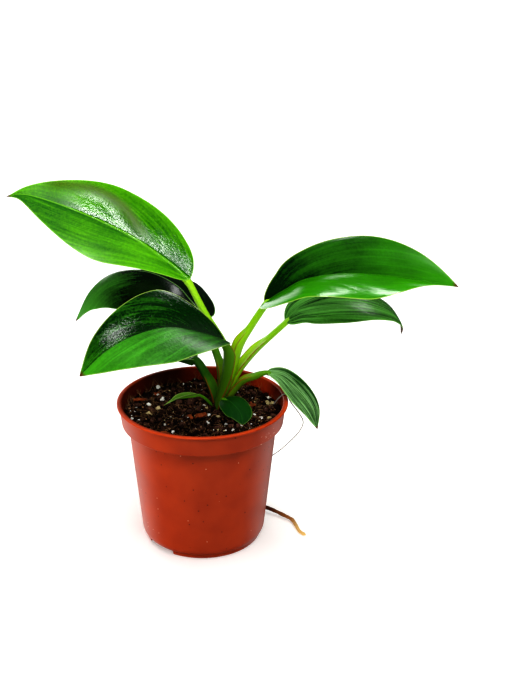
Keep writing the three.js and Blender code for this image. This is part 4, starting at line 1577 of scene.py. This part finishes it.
    def stalk(self) -> tuple[np.ndarray, list, dict[str, np.ndarray]]:
        """The stalk from below the soil into the blade's rib.

        Returns:
            Points, faces and the numbers for its finish.
        """
        shares = np.linspace(0, 1, 90)
        point, _, normal, side = self.stem.at(shares * self.stem.length)
        points, across, inner = [], [], []
        for i, share in enumerate(shares):
            ring, beside, inside = self.section(float(share))
            twist = math.radians(self.shape.turn) * (1 - float(soft_step(share, 0.0, 1.0)))
            wide = side[i] * math.cos(twist) + normal[i] * math.sin(twist)
            high = normal[i] * math.cos(twist) - side[i] * math.sin(twist)
            points.append(point[i] + ring[:, :1] * wide + ring[:, 1:] * high)
            across.append(beside)
            inner.append(inside)
        joint, beyond = self.root_end
        last_ring = points[-1] - point[-1]
        for step in (0.35, 0.7, 1.0):
            centre = joint + (beyond - joint) * step
            points.append(centre + last_ring * (1 - 0.75 * step))
            across.append(across[-1])
            inner.append(inner[-1] * 0)
        count = 2 * self.RING
        rows = np.vstack(points)
        faces = grid_faces(len(points), count, closed=True)
        faces.append(tuple(range(count)))
        faces.append(tuple(range(len(rows) - 1, len(rows) - count - 1, -1)))
        share = np.repeat(np.concatenate([shares, [1.0, 1.0, 1.0]]), count)
        beside = np.concatenate(across)
        sheath = 1 - soft_step(share, self.shape.sheath.end - 0.06, self.shape.sheath.end + 0.03)
        margin = soft_step(np.abs(beside), 0.9, 0.985) * sheath
        return rows, faces, {"share": share, "across": beside, "inner": np.concatenate(inner), "margin": margin}

    def build(self) -> bpy.types.Object:
        """Builds the leaf and puts it in its node's place."""
        blade_points, blade_faces, blade_fields = self.blade()
        stalk_points, stalk_faces, stalk_fields = self.stalk()
        blade = new_piece(self.name + "_fine", blade_points, blade_faces, blade_fields, 60)
        stalk = new_piece(self.name + "_stalk", stalk_points, stalk_faces, stalk_fields, 60)
        blade.data.materials.append(self.flesh.make())
        stalk.data.materials.append(self.stalk_flesh.make())
        with bpy.context.temp_override(active_object=blade, selected_editable_objects=[blade, stalk]):
            bpy.ops.object.join()
        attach(blade, BODY)
        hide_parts(self.name)
        return blade


@dataclass
class Stem:
    """The short knobbly stem that the stalks grow from."""

    crown: Pair = (14, 13)
    radius: float = 3.2
    foot: float = 78
    top: float = 97
    knobs: tuple[float, ...] = (0.55, 0.9, 1.0, 0.92, 1.0, 0.8)
    finish: Earthy = Earthy("corky_green_stem", "#3A3216", "#7A7A34", 1.6, 0.5, 0.7)

    def build(self) -> bpy.types.Object:
        """Turns the stem with its leaf scars as shallow rings."""
        shares = np.linspace(0, 1, 60)
        radii = self.radius * ramp(self.knobs, shares) * (1 + 0.04 * np.sin(shares * 60))
        heights = self.foot + (self.top - self.foot) * shares
        profile = [(0, self.foot), *zip(radii, heights), (0, self.top)]
        points, faces = turned(profile, 40)
        moved = points + (*self.crown, 0)
        made = new_piece("plant_stem", moved, faces, {"tone": np.full(len(moved), 0.4)})
        dress(made, Slot.STEM, self.finish.make())
        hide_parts("stem")
        return made


@dataclass(frozen=True)
class RootBark:
    """Root skin: corky brown where it is old and smooth golden where it is young. The eye gets a dull fibrous
    surface that pales to the tip."""

    name: str = "aerial_root_skin"
    old: str = "#4A2212"
    middle: str = "#9A6430"
    young: str = "#E8C074"
    # Length of the skin's wrinkles in millimetres
    WRINKLE = 1.4

    def make(self) -> bpy.types.Material:
        """Makes the material, which reads how far along the root a point is."""
        material, tree, shader = new_material(self.name)
        place = add(tree, "TexCoord").outputs["Object"]
        tone = add(tree, "Attribute", {"attribute_name": "tone"}).outputs["Fac"]
        wrinkle = add(
            tree, "TexNoise", {"Scale": per_mm(self.WRINKLE), "Detail": 4.0, "Roughness": 0.7}, {"Vector": place}
        ).outputs["Fac"]
        spread = add(tree, "MapRange", {"To Min": -0.08, "To Max": 0.08}, {"Value": wrinkle}).outputs[0]
        share = add(tree, "Math", {"operation": "ADD", "use_clamp": True}, {0: tone, 1: spread}).outputs[0]
        shades = add(tree, "ValToRGB", links={"Fac": share})
        ramp_colours = shades.color_ramp.elements
        ramp_colours[0].position, ramp_colours[0].color = 0.42, linear(self.old)
        ramp_colours[1].position, ramp_colours[1].color = 0.88, linear(self.young)
        between = ramp_colours.new(0.66)
        between.color = linear(self.middle)
        skin = add(tree, "Bump", {"Strength": 0.5, "Distance": 0.3 * MM}, {"Height": wrinkle}).outputs[0]
        set_shader(
            tree, shader, {"Roughness": 0.6}, {"Base Color": shades.outputs["Color"], "Normal": skin}
        )
        return material


@dataclass
class Root:
    """One root that leaves by a drain hole, passes the notch in the foot ring and lies beside the pot."""

    radius: Pair = (1.55, 1.15)
    finish: RootBark = field(default_factory=RootBark)
    ROUTE = (
        (23.3, 23.3, 5.1), (23.6, 23.6, 3.4), (25.5, 25.5, 1.9), (30, 27, 1.6), (36, 27.5, 2.2), (41, 26, 3.4),
        (46, 24, 3.8), (52.5, 20, 3.4), (60, 14.5, 2.6), (66, 9.5, 1.9), (69, 1.5, 1.5), (71.5, -6, 1.3),
        (76, -11, 1.1),
    )

    def build(self) -> bpy.types.Object:
        """Builds the root with its knots and pointed end."""
        shares = np.linspace(0, 1, 150)
        knots = 1 + 0.18 * np.array([wobble((s * 100, 0, 0), 3.2, 1.0) for s in shares])
        radii = (self.radius[0] + (self.radius[1] - self.radius[0]) * shares ** 2) * knots
        radii *= 1 - 0.8 * soft_step(shares, 0.965, 1.0)
        points, faces, share = tube(Axis(list(self.ROUTE), 3), radii, 14, 0.92)
        made = new_piece("trailing_root", points, faces, {"tone": share})
        dress(made, Slot.ROOT, self.finish.make())
        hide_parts("root")
        return made


@dataclass
class LooseStrand:
    """A hair-thin dry root that hangs over the rim at the right."""

    radius: float = 0.45
    finish: Earthy = Earthy("dry_hair_root", "#8A847C", "#AEA8A0", 3.0, 0.1, 0.7)
    ROUTE = (
        (50.5, 11, 97.0), (54.5, 10.5, 102.5), (57.6, 10, 105.3), (60.0, 9.6, 105.2), (63.0, 9, 99.5),
        (69.5, 8.6, 90.5), (72.2, 8.4, 84.0), (69.5, 8.4, 76.5), (63.8, 8.2, 69.5), (56.5, 8.0, 62.0),
        (50.0, 8.0, 56.6),
    )

    def build(self) -> bpy.types.Object:
        """Builds the strand."""
        points, faces, _ = tube(Axis(list(self.ROUTE)), np.linspace(self.radius, self.radius * 0.8, 120), 6)
        made = new_piece("loose_strand", points, faces, {"tone": np.full(len(points), 0.5)})
        return dress(made, Slot.ROOT, self.finish.make())


def foliage() -> list[Leaf]:
    """The nine leaves with their forms and finishes, youngest first."""
    lime_stalk = StalkFlesh("lime_stalk", "#6EAA1A", "#A6E020", "#B4C81E")
    bright_stalk = StalkFlesh("bright_green_stalk", "#90BE10", "#88C80E", "#B4D41A")
    veined_stalk = StalkFlesh("veined_green_stalk", "#82B014", "#86C214", "#9CC41A")
    broad_stalk = StalkFlesh("broad_green_stalk", "#46680A", "#4E860A", "#6C9A14")
    hanging_stalk = StalkFlesh("drooping_leaf_stalk", "#5E740C", "#5E9A1C", "#9AA82A")
    green_stalk = StalkFlesh("green_stalk", "#35640A", "#5E9A1C", "#8FA82A")
    dark_stalk = StalkFlesh("dark_green_stalk", "#1E4208", "#2C5A12", "#4E7A20")
    young = LeafFlesh(
        "young_leaf", "#1C6400", "#70C800", "#7CCC10", "#A8E050", "#6FAE3A",
        slant=0.4, streaks=0.5, lift=(0.12, -0.32), rise=(-0.56, 0.34), spread=(0.38, 0.48), roughness=(0.4, 0.15), dull_tip=0.4,
        rib_width=1.6, rib_strength=0.6, speckle=0.42, translucency=0.2,
    )
    # The left half's low lift paints shade on the far half, darkest by the base.
    bright = LeafFlesh(
        "full_grown_leaf", "#012402", "#3E9E04", "#4A9A20", "#C0DC60", "#5A9A3C",
        slant=0.5, streaks=0.25, lift=(-0.25, 0.4), rise=(0.85, 0.1), spread=(0.05, 0.25), roughness=(0.2, 0.15),
        rib_width=0.7, rib_strength=0.2, speckle=0.08, seed=3.0,
    )
    # The right half's lower lift paints shade on the far half.
    dark_front = LeafFlesh(
        "old_leaf_front", "#022A02", "#46A01C", "#3E7A28", "#A8C85A", "#4A7A3A",
        slant=0.3, streaks=0.5, streak_edges=(0.2, 0.42), lift=(-0.14, -0.46), rise=(0.85, 0.58), spread=(0.1, 0.05),
        roughness=(0.32, 0.14), rib_width=0.6, rib_strength=0.3, speckle=0.5, seed=7.0,
    )
    # The left half's very low lift paints the shade that the leaf above casts near its base; its steep rise lightens it
    # towards the tip.
    dark_rear = LeafFlesh(
        "old_leaf_rear", "#011802", "#58B038", "#7AA858", "#8AC858", "#3E6A34",
        slant=0.3, streaks=0.3, streak_edges=(0.2, 0.4), lift=(-1.25, -0.3), rise=(2.3, 0.15), spread=(0.1, 0.0),
        roughness=(0.22, 0.2), rib_width=0.6, rib_strength=0.6, seed=11.0,
    )
    # Its light colour and lifts pale the blade in part as painted sheen.
    striped = LeafFlesh(
        "old_leaf_right", "#042A04", "#66B048", "#5A9A40", "#B0DC78", "#5A8A4C", dry_from=0.93,
        slant=1.0, streaks=0.75, streak_edges=(0.2, 0.36), lift=(0.06, 0.1), rise=(0.0, 0.1),
        roughness=(0.24, 0.24), rib_width=0.6, rib_strength=0.4, rim_strength=0.35, seed=15.0,
    )
    # Its greyish pale light colour is in part painted sheen.
    sheened = LeafFlesh(
        "drooping_leaf", "#083A06", "#8CC078", "#7AAA60", "#B0DC78", "#5A8A4C", dry_from=0.95,
        slant=1.0, streaks=0.9, streak_edges=(0.2, 0.36), lift=(0.06, 0.22), rise=(-0.3, -0.35),
        roughness=(0.3, 0.3), rib_width=0.6, rib_strength=0.4, rim_strength=0.4, seed=17.0,
    )
    small_dark = LeafFlesh(
        "small_leaf_front", "#07330B", "#1E5A16", "#3A7A2C", "#8AB04E", "#3E6A34",
        rib_width=0.5, rib_strength=0.3, rim_strength=0.4, rim_width=0.35, roughness=(0.4, 0.4), seed=19.0,
    )
    small_low = LeafFlesh(
        "small_leaf_low", "#16400A", "#3A6A20", "#A8C87A", "#A8C870", "#4A7A34",
        rib_width=0.8, rib_strength=0.8, roughness=(0.34, 0.34), seed=23.0,
    )
    sprout = LeafFlesh(
        "soil_leaf", "#4A7A1A", "#7FA83A", "#A8C85A", "#B8D87A", "#6A9A3A",
        streaks=0.6, rib_width=0.6, rib_strength=0.6, roughness=(0.4, 0.4), seed=27.0,
    )
    return [
        Leaf("leaf_upper_left", LeafShape(
            stalk=((14, 14, 87), (15, 16, 100), (18, 18, 119), (16, 20, 137), (1, 25, 161), (-10, 30, 181)),
            rib=((-11, 30, 184), (-27, 36, 196), (-55, 46, 212), (-92, 56, 226), (-127, 64, 235), (-145, 68, 233)),
            width=(31.5, 29.6), lobe=(-2, 1), widest=(0.45, 0.48), full=(0.38, 0.74), shoulder=(0.47, 0.4), taper=0.1,
            roll=(38, 38, 38), fold=((33, 18, 14), (20, 18, 14)), curl=(16, 24, 10),
            radius=(3, 2.7), sheath=Sheath(0.3, (4.5, 4), 120), wave=0.6, raised_rib=0.9,
            ridge=((34, 3), (53, 10), (67, 17), (81, 20), (95, 20), (112, 16), (132, 9)), ridge_height=2.2, knuckle=0.16,
        ), young, lime_stalk, Slot.YOUNG),
        Leaf("leaf_upper_right", LeafShape(
            stalk=((16, 17, 87), (17, 18, 101), (22.5, 20, 126), (28.9, 22, 145), (43, 25, 168)),
            rib=((43, 25, 170), (57, 26, 179), (73, 28, 187), (103, 32, 190), (144, 36, 186), (182, 38, 179)),
            width=(32.8, 31.5), lobe=(0, 13), widest=(0.55, 0.5), full=(0.3, 0.7), shoulder=(0.55, 0.37), taper=0.03,
            roll=(-31, -31, -20), fold=((24, 22, 24), (36, 25, 32)), curl=(20, 22, 5),
            radius=(3.8, 2.8), sheath=Sheath(0.7, (8, 7.5), 170), wave=0.08,
        ), bright, bright_stalk, Slot.MID),
        Leaf("leaf_rear_left", LeafShape(
            stalk=((11, 18, 87), (12.5, 20, 97), (12, 24, 118), (6.5, 33, 133), (-1, 42, 151)),
            rib=((-2, 43, 152), (-10, 50, 160), (-23, 58, 171), (-45, 68, 177), (-71, 78, 172), (-90, 85, 155),
                 (-103, 88, 129)),
            width=(33, 31), lobe=(4, 8), widest=(0.48, 0.48), full=(0.8, 0.9), shoulder=(0.5, 0.56), taper=0.05,
            roll=(0, 0, 0), fold=((0, -15, -34), (1, -18, -25)), curl=(30, 40, 10),
            radius=(3.2, 2.6), sheath=Sheath(0.5, (6, 5.5), 140),
        ), dark_rear, green_stalk, Slot.DARK),
        Leaf("leaf_front_left", LeafShape(
            stalk=((12, 8, 87), (11.5, 8.5, 101), (15.8, 6, 124), (17, 5, 140), (16, 4, 146)),
            rib=((16, 4, 149), (2, -4, 157), (-20, -16, 166), (-40, -28, 166), (-60, -40, 159), (-78, -50, 144)),
            width=(31.5, 29.5), lobe=(4, -7), widest=(0.47, 0.4), full=(0.62, 0.1), shoulder=(0.5, 0.27), taper=0.03,
            roll=(33, 33, 30), fold=((40, 22, 8), (30, 24, 16)), curl=(25, 30, 20),
            radius=(3.8, 3.2), sheath=Sheath(0.93, (10.2, 8.0), 140), wave=0.5, turn=65,
        ), dark_front, broad_stalk, Slot.DARK),
        Leaf("leaf_rear_right", LeafShape(
            stalk=((18, 14.5, 87), (18, 16, 101), (25, 20, 118.6), (40.5, 32, 134.1), (58, 40, 148.8)),
            rib=((58, 40, 150), (69, 46, 158), (91, 54, 162), (115, 62, 159), (136, 68, 149.5), (146.5, 70, 138),
                 (147, 70, 129)),
            width=(23, 23.5), lobe=(-3, 2), widest=(0.5, 0.4), full=(0.55, 0.7), shoulder=(0.55, 0.42), taper=0.01,
            roll=(-14, -14, -10), fold=((5, 5, 0), (3, 3, 2)), curl=(20, 28, 20),
            radius=(3.1, 2.4), sheath=Sheath(0.74, (6.2, 5.4), 150),
        ), striped, veined_stalk, Slot.DARK),
        Leaf("leaf_low_left", LeafShape(
            stalk=((8, 14, 87), (8.5, 14, 98), (3.4, 18, 112), (-1.8, 23, 120), (-7, 28, 124)),
            rib=((-7, 28, 124), (-20, 34, 122), (-41, 42, 116), (-66, 50, 108)),
            width=(13, 13), lobe=(3, 3), widest=(0.45, 0.45), full=(0.85, 0.85), shoulder=(0.45, 0.45), taper=0.1,
            roll=(2, 2, 2), fold=((22, 22, 12), (22, 22, 12)), curl=(10, 15, 10),
            radius=(3.7, 3.2), sheath=Sheath(0.6, (5.5, 5), 120),
        ), small_low, dark_stalk, Slot.DARK),
        Leaf("leaf_right", LeafShape(
            stalk=((18, 10, 87), (18.5, 11, 100), (26, 11, 112.5), (36, 10, 119.5), (45, 8, 123.5)),
            rib=((46, 8, 124), (57, 6, 120.6), (68.3, 2, 110.6), (77.2, -2, 99.3), (82, -4, 84.8)),
            width=(10.3, 9), lobe=(1, 1), widest=(0.5, 0.5), full=(0.8, 0.6), shoulder=(0.45, 0.45), taper=0.03,
            roll=(-25, -35, -40), fold=((0, 0, 0), (0, 0, 0)), curl=(10, 10, 10),
            radius=(3.3, 3), sheath=Sheath(0.72, (6, 5.5), 120), neck=0.5,
        ), sheened, hanging_stalk, Slot.MID),
        Leaf("leaf_front", LeafShape(
            stalk=((14, 4.5, 87), (14, 4.5, 99), (14, 2, 104), (14, 0, 106)),
            rib=((15.5, 0, 106), (21.5, -8, 106), (27.5, -17, 102), (29, -25.5, 97.5)),
            width=(10, 10), lobe=(1, 1), widest=(0.48, 0.48), full=(0.9, 0.9), shoulder=(0.6, 0.6), taper=0.05,
            roll=(-10, -10, -10), fold=((5, 5, 5), (5, 5, 5)), curl=(20, 20, 10),
            radius=(1.6, 1.3), sheath=Sheath(0.4, (2.5, 2.5), 90),
        ), small_dark, green_stalk, Slot.DARK),
        Leaf("leaf_soil_left", LeafShape(
            stalk=((6, 6, 87), (6, 6, 97), (3, 4, 103), (-2, 1, 108)),
            rib=((-3, 1, 108), (-10, -4, 110), (-18, -8, 109), (-27, -13, 106)),
            width=(4.5, 4.5), lobe=(0.5, 0.5), widest=(0.45, 0.45), full=(0.75, 0.75), shoulder=(0.45, 0.45),
            taper=0.3, roll=(-10, -10, -10), fold=((25, 25, 15), (25, 25, 15)), curl=(10, 10, 10),
            radius=(1.3, 1.1), sheath=Sheath(0.4, (2, 2), 90),
        ), sprout, green_stalk, Slot.YOUNG),
    ]


# The studio


@dataclass(frozen=True)
class Window:
    """A window of the studio that one piece catches in its gloss: its azimuth from the back towards the right and its
    elevation in degrees, its size in millimetres, its power in watts and the piece."""

    name: str
    way: Pair
    size: Pair
    power: float
    piece: str


@dataclass
class Studio:
    """A white board to stand on, a white surround, soft lamps and the camera at the photograph's angle."""

    board_radius: float = 650
    surround_radius: float = 9000
    lens: float = 58.63
    camera_place: Triple = (42.0, -734.4, 449.4)
    pitch: float = 22.59
    roll: float = 0.798
    dim: float = 0.06
    windows: tuple[Window, ...] = (
        Window("bowl_window", (204, 43), (190, 420), 8, "leaf_upper_left_fine"),
        Window("base_window", (177, 39), (160, 260), 3.0, "leaf_upper_left_fine"),
        Window("front_window", (163, 55), (280, 280), 3.2, "leaf_front_left_fine"),
        Window("far_window", (35, 48), (600, 500), 5, "leaf_front_left_fine"),
        Window("back_window", (17, 61), (230, 250), 2.4, "leaf_upper_right_fine"),
        Window("tip_window", (82, 56), (110, 110), 0.22, "leaf_upper_right_fine"),
        Window("low_window", (14, 15), (700, 500), 1.1, "leaf_upper_right_fine"),
        Window("right_window", (52, 67), (460, 320), 3.4, "leaf_rear_left_fine"),
        Window("side_window", (42, 40), (240, 240), 1.0, "leaf_rear_right_fine"),
        Window("lip_window", (190, 52), (900, 300), 6, "pot_shell"),
    )
    WINDOW_DISTANCE = 1300
    patches: tuple[tuple[float, float, float, float, float], ...] = (
        (-27, 16, 6, 20, 2.8), (-48, -36, 10, 30, 1.2), (50, -34, 10, 28, 0.9), (115, 20, 10, 30, 0.3),
    )

    def floor(self) -> bpy.types.Object:
        """The board, whose top is level with the pot's foot."""
        points, faces = turned([(0, -3), (self.board_radius, -3), (self.board_radius, -0.05), (0, -0.05)], 96)
        board = new_piece("floor_board", points, faces, sharp=30)
        board.data.materials.append(PaleBoard().make())
        board.visible_glossy = False
        return board

    def surround(self) -> bpy.types.Object:
        """A plain white dome that only the eye sees: it neither lights the part nor shows in its gloss."""
        points, faces = ball(5)
        dome = new_piece("white_surround", points * self.surround_radius, faces)
        material = bpy.data.materials.new("plain_white")
        material.use_nodes = True
        tree = material.node_tree
        tree.nodes.clear()
        glow = add(tree, "Emission", {"Color": (1.0, 1.0, 1.0, 1.0), "Strength": 1.05})
        add(tree, "OutputMaterial", links={"Surface": glow.outputs[0]})
        dome.data.materials.append(material)
        for kind in ("diffuse", "glossy", "transmission", "volume_scatter", "shadow"):
            setattr(dome, "visible_" + kind, False)
        return dome

    def lamp(
        self,
        name: str,
        azimuth: float,
        elevation: float,
        distance: float,
        size: Pair,
        power: float,
        in_gloss: bool = True,
        in_matt: bool = True,
    ) -> bpy.types.Object:
        """Adds a soft lamp that points at the plant.

        Args:
            name: The lamp's name.
            azimuth: Where it stands, in degrees from the back towards the right.
            elevation: How high it stands, in degrees.
            distance: How far from the plant, in millimetres.
            size: Its width and height in millimetres.
            power: Its power in watts.
            in_gloss: Whether it shows in glossy surfaces.
            in_matt: Whether it lights matt surfaces.

        Returns:
            The lamp.
        """
        turn, rise = math.radians(azimuth), math.radians(elevation)
        way = Vector((math.sin(turn) * math.cos(rise), math.cos(turn) * math.cos(rise), math.sin(rise)))
        data = bpy.data.lights.new(name, "AREA")
        data.shape = "RECTANGLE"
        data.size, data.size_y = size[0] * MM, size[1] * MM
        data.energy = power
        made = bpy.data.objects.new(name, data)
        target = Vector((0, 0, 0.15))
        made.location = target + way * distance * MM
        made.rotation_mode = "QUATERNION"
        made.rotation_quaternion = way.to_track_quat("Z", "Y")
        made.visible_glossy = in_gloss
        made.visible_diffuse = in_matt
        bpy.context.scene.collection.objects.link(made)
        return made

    def show_to(self, lamp: bpy.types.Object, piece: str, only: bool = True) -> None:
        """Lets one piece alone catch a lamp, or all but that piece. Real blades bend more finely than these, so each
        catches other lamps.

        Args:
            lamp: The lamp.
            piece: The piece's name.
            only: Whether the piece catches it, or all others.
        """
        group = bpy.data.collections.new(lamp.name + "_receivers")
        group.objects.link(bpy.data.objects[piece])
        group.collection_objects[0].light_linking.link_state = "INCLUDE" if only else "EXCLUDE"
        lamp.light_linking.receiver_collection = group

    def glow_patch(
        self, tree: bpy.types.NodeTree, way: bpy.types.NodeSocket, patch: tuple[float, float, float, float, float]
    ) -> bpy.types.NodeSocket:
        """Part of the room's pale walls.

        Args:
            tree: The world's tree.
            way: The direction that is looked up.
            patch: Azimuth and elevation of its middle, how far it is even and where it ends, in degrees, and its glow.

        Returns:
            The patch's glow.
        """
        azimuth, elevation, even, end, glow = patch
        turn, rise = math.radians(azimuth), math.radians(elevation)
        middle = (math.sin(turn) * math.cos(rise), math.cos(turn) * math.cos(rise), math.sin(rise))
        near = add(tree, "VectorMath", {"operation": "DOT_PRODUCT", 1: middle}, {0: way}).outputs["Value"]
        return add(
            tree, "MapRange",
            {"From Min": math.cos(math.radians(end)), "From Max": math.cos(math.radians(even)), "To Max": glow,
             "interpolation_type": "SMOOTHSTEP"},
            {"Value": near},
        ).outputs[0]

    def lights(self) -> None:
        """Fills that show in no gloss, the windows that show in the gloss alone, and the pale room."""
        self.lamp("overhead_fill", 0, 84, 1400, (1700, 1700), 24, in_gloss=False)
        front = self.lamp("front_fill", 172, 22, 1500, (1500, 900), 12, in_gloss=False)
        self.show_to(front, "pot_shell", only=False)
        high = self.lamp("pot_front_fill", 172, 52, 1500, (1100, 500), 17, in_gloss=False)
        self.show_to(high, "pot_shell")
        side = self.lamp("pot_side_fill", 262, 14, 1300, (500, 500), 13, in_gloss=False)
        self.show_to(side, "pot_shell")
        for window in self.windows:
            made = self.lamp(window.name, *window.way, self.WINDOW_DISTANCE, window.size, window.power, in_matt=False)
            self.show_to(made, window.piece)
        world = bpy.data.worlds.new("pale_room")
        world.use_nodes = True
        tree = world.node_tree
        tree.nodes.clear()
        way = add(tree, "TexCoord").outputs["Generated"]
        glow = add(tree, "Value")
        glow.outputs[0].default_value = self.dim
        total = glow.outputs[0]
        for patch in self.patches:
            total = add(
                tree, "Math", {"operation": "ADD"}, {0: total, 1: self.glow_patch(tree, way, patch)}
            ).outputs[0]
        room = add(tree, "Background", {"Color": (1.0, 1.0, 1.0, 1.0)}, {"Strength": total})
        add(tree, "OutputWorld", links={"Surface": room.outputs[0]})
        bpy.context.scene.world = world

    def camera(self) -> bpy.types.Object:
        """The camera, whose long side is the picture's height."""
        data = bpy.data.cameras.new("camera")
        data.sensor_width = 36.0
        data.lens = self.lens
        data.clip_start, data.clip_end = 0.05, 50.0
        made = bpy.data.objects.new("camera", data)
        pitch, roll = math.radians(self.pitch), math.radians(self.roll)
        forward = Vector((0, math.cos(pitch), -math.sin(pitch)))
        upright = Vector((0, math.sin(pitch), math.cos(pitch)))
        right = Vector((1, 0, 0))
        across = right * math.cos(roll) + upright * math.sin(roll)
        above = upright * math.cos(roll) - right * math.sin(roll)
        turn = Matrix((across, above, -forward)).transposed()
        made.rotation_mode = "QUATERNION"
        made.rotation_quaternion = turn.to_quaternion()
        made.location = Vector(self.camera_place) * MM + Vector(POT_AXIS)
        bpy.context.scene.collection.objects.link(made)
        bpy.context.scene.camera = made
        return made

    def build(self) -> None:
        """Sets up the studio."""
        self.floor()
        self.surround()
        self.lights()
        self.camera()
        bpy.context.scene.view_settings.view_transform = "Standard"
        bpy.context.scene.view_settings.look = "High Contrast"


def report(piece: bpy.types.Object) -> None:
    """Logs a piece's name and its triangles."""
    triangles = sum(len(face.vertices) - 2 for face in piece.data.polygons)
    LOG.info("%s: %d triangles", piece.name, triangles)


def main() -> None:
    """Builds the pot, the soil, the plant and the studio, and reports each piece."""
    logging.basicConfig(level=logging.INFO, format="%(message)s")
    report(NurseryPot().build())
    for piece in Soil().build():
        report(piece)
    for leaf in foliage():
        report(leaf.build())
    report(Stem().build())
    report(Root().build())
    report(LooseStrand().build())
    Studio().build()


if __name__ == "__main__":
    main()
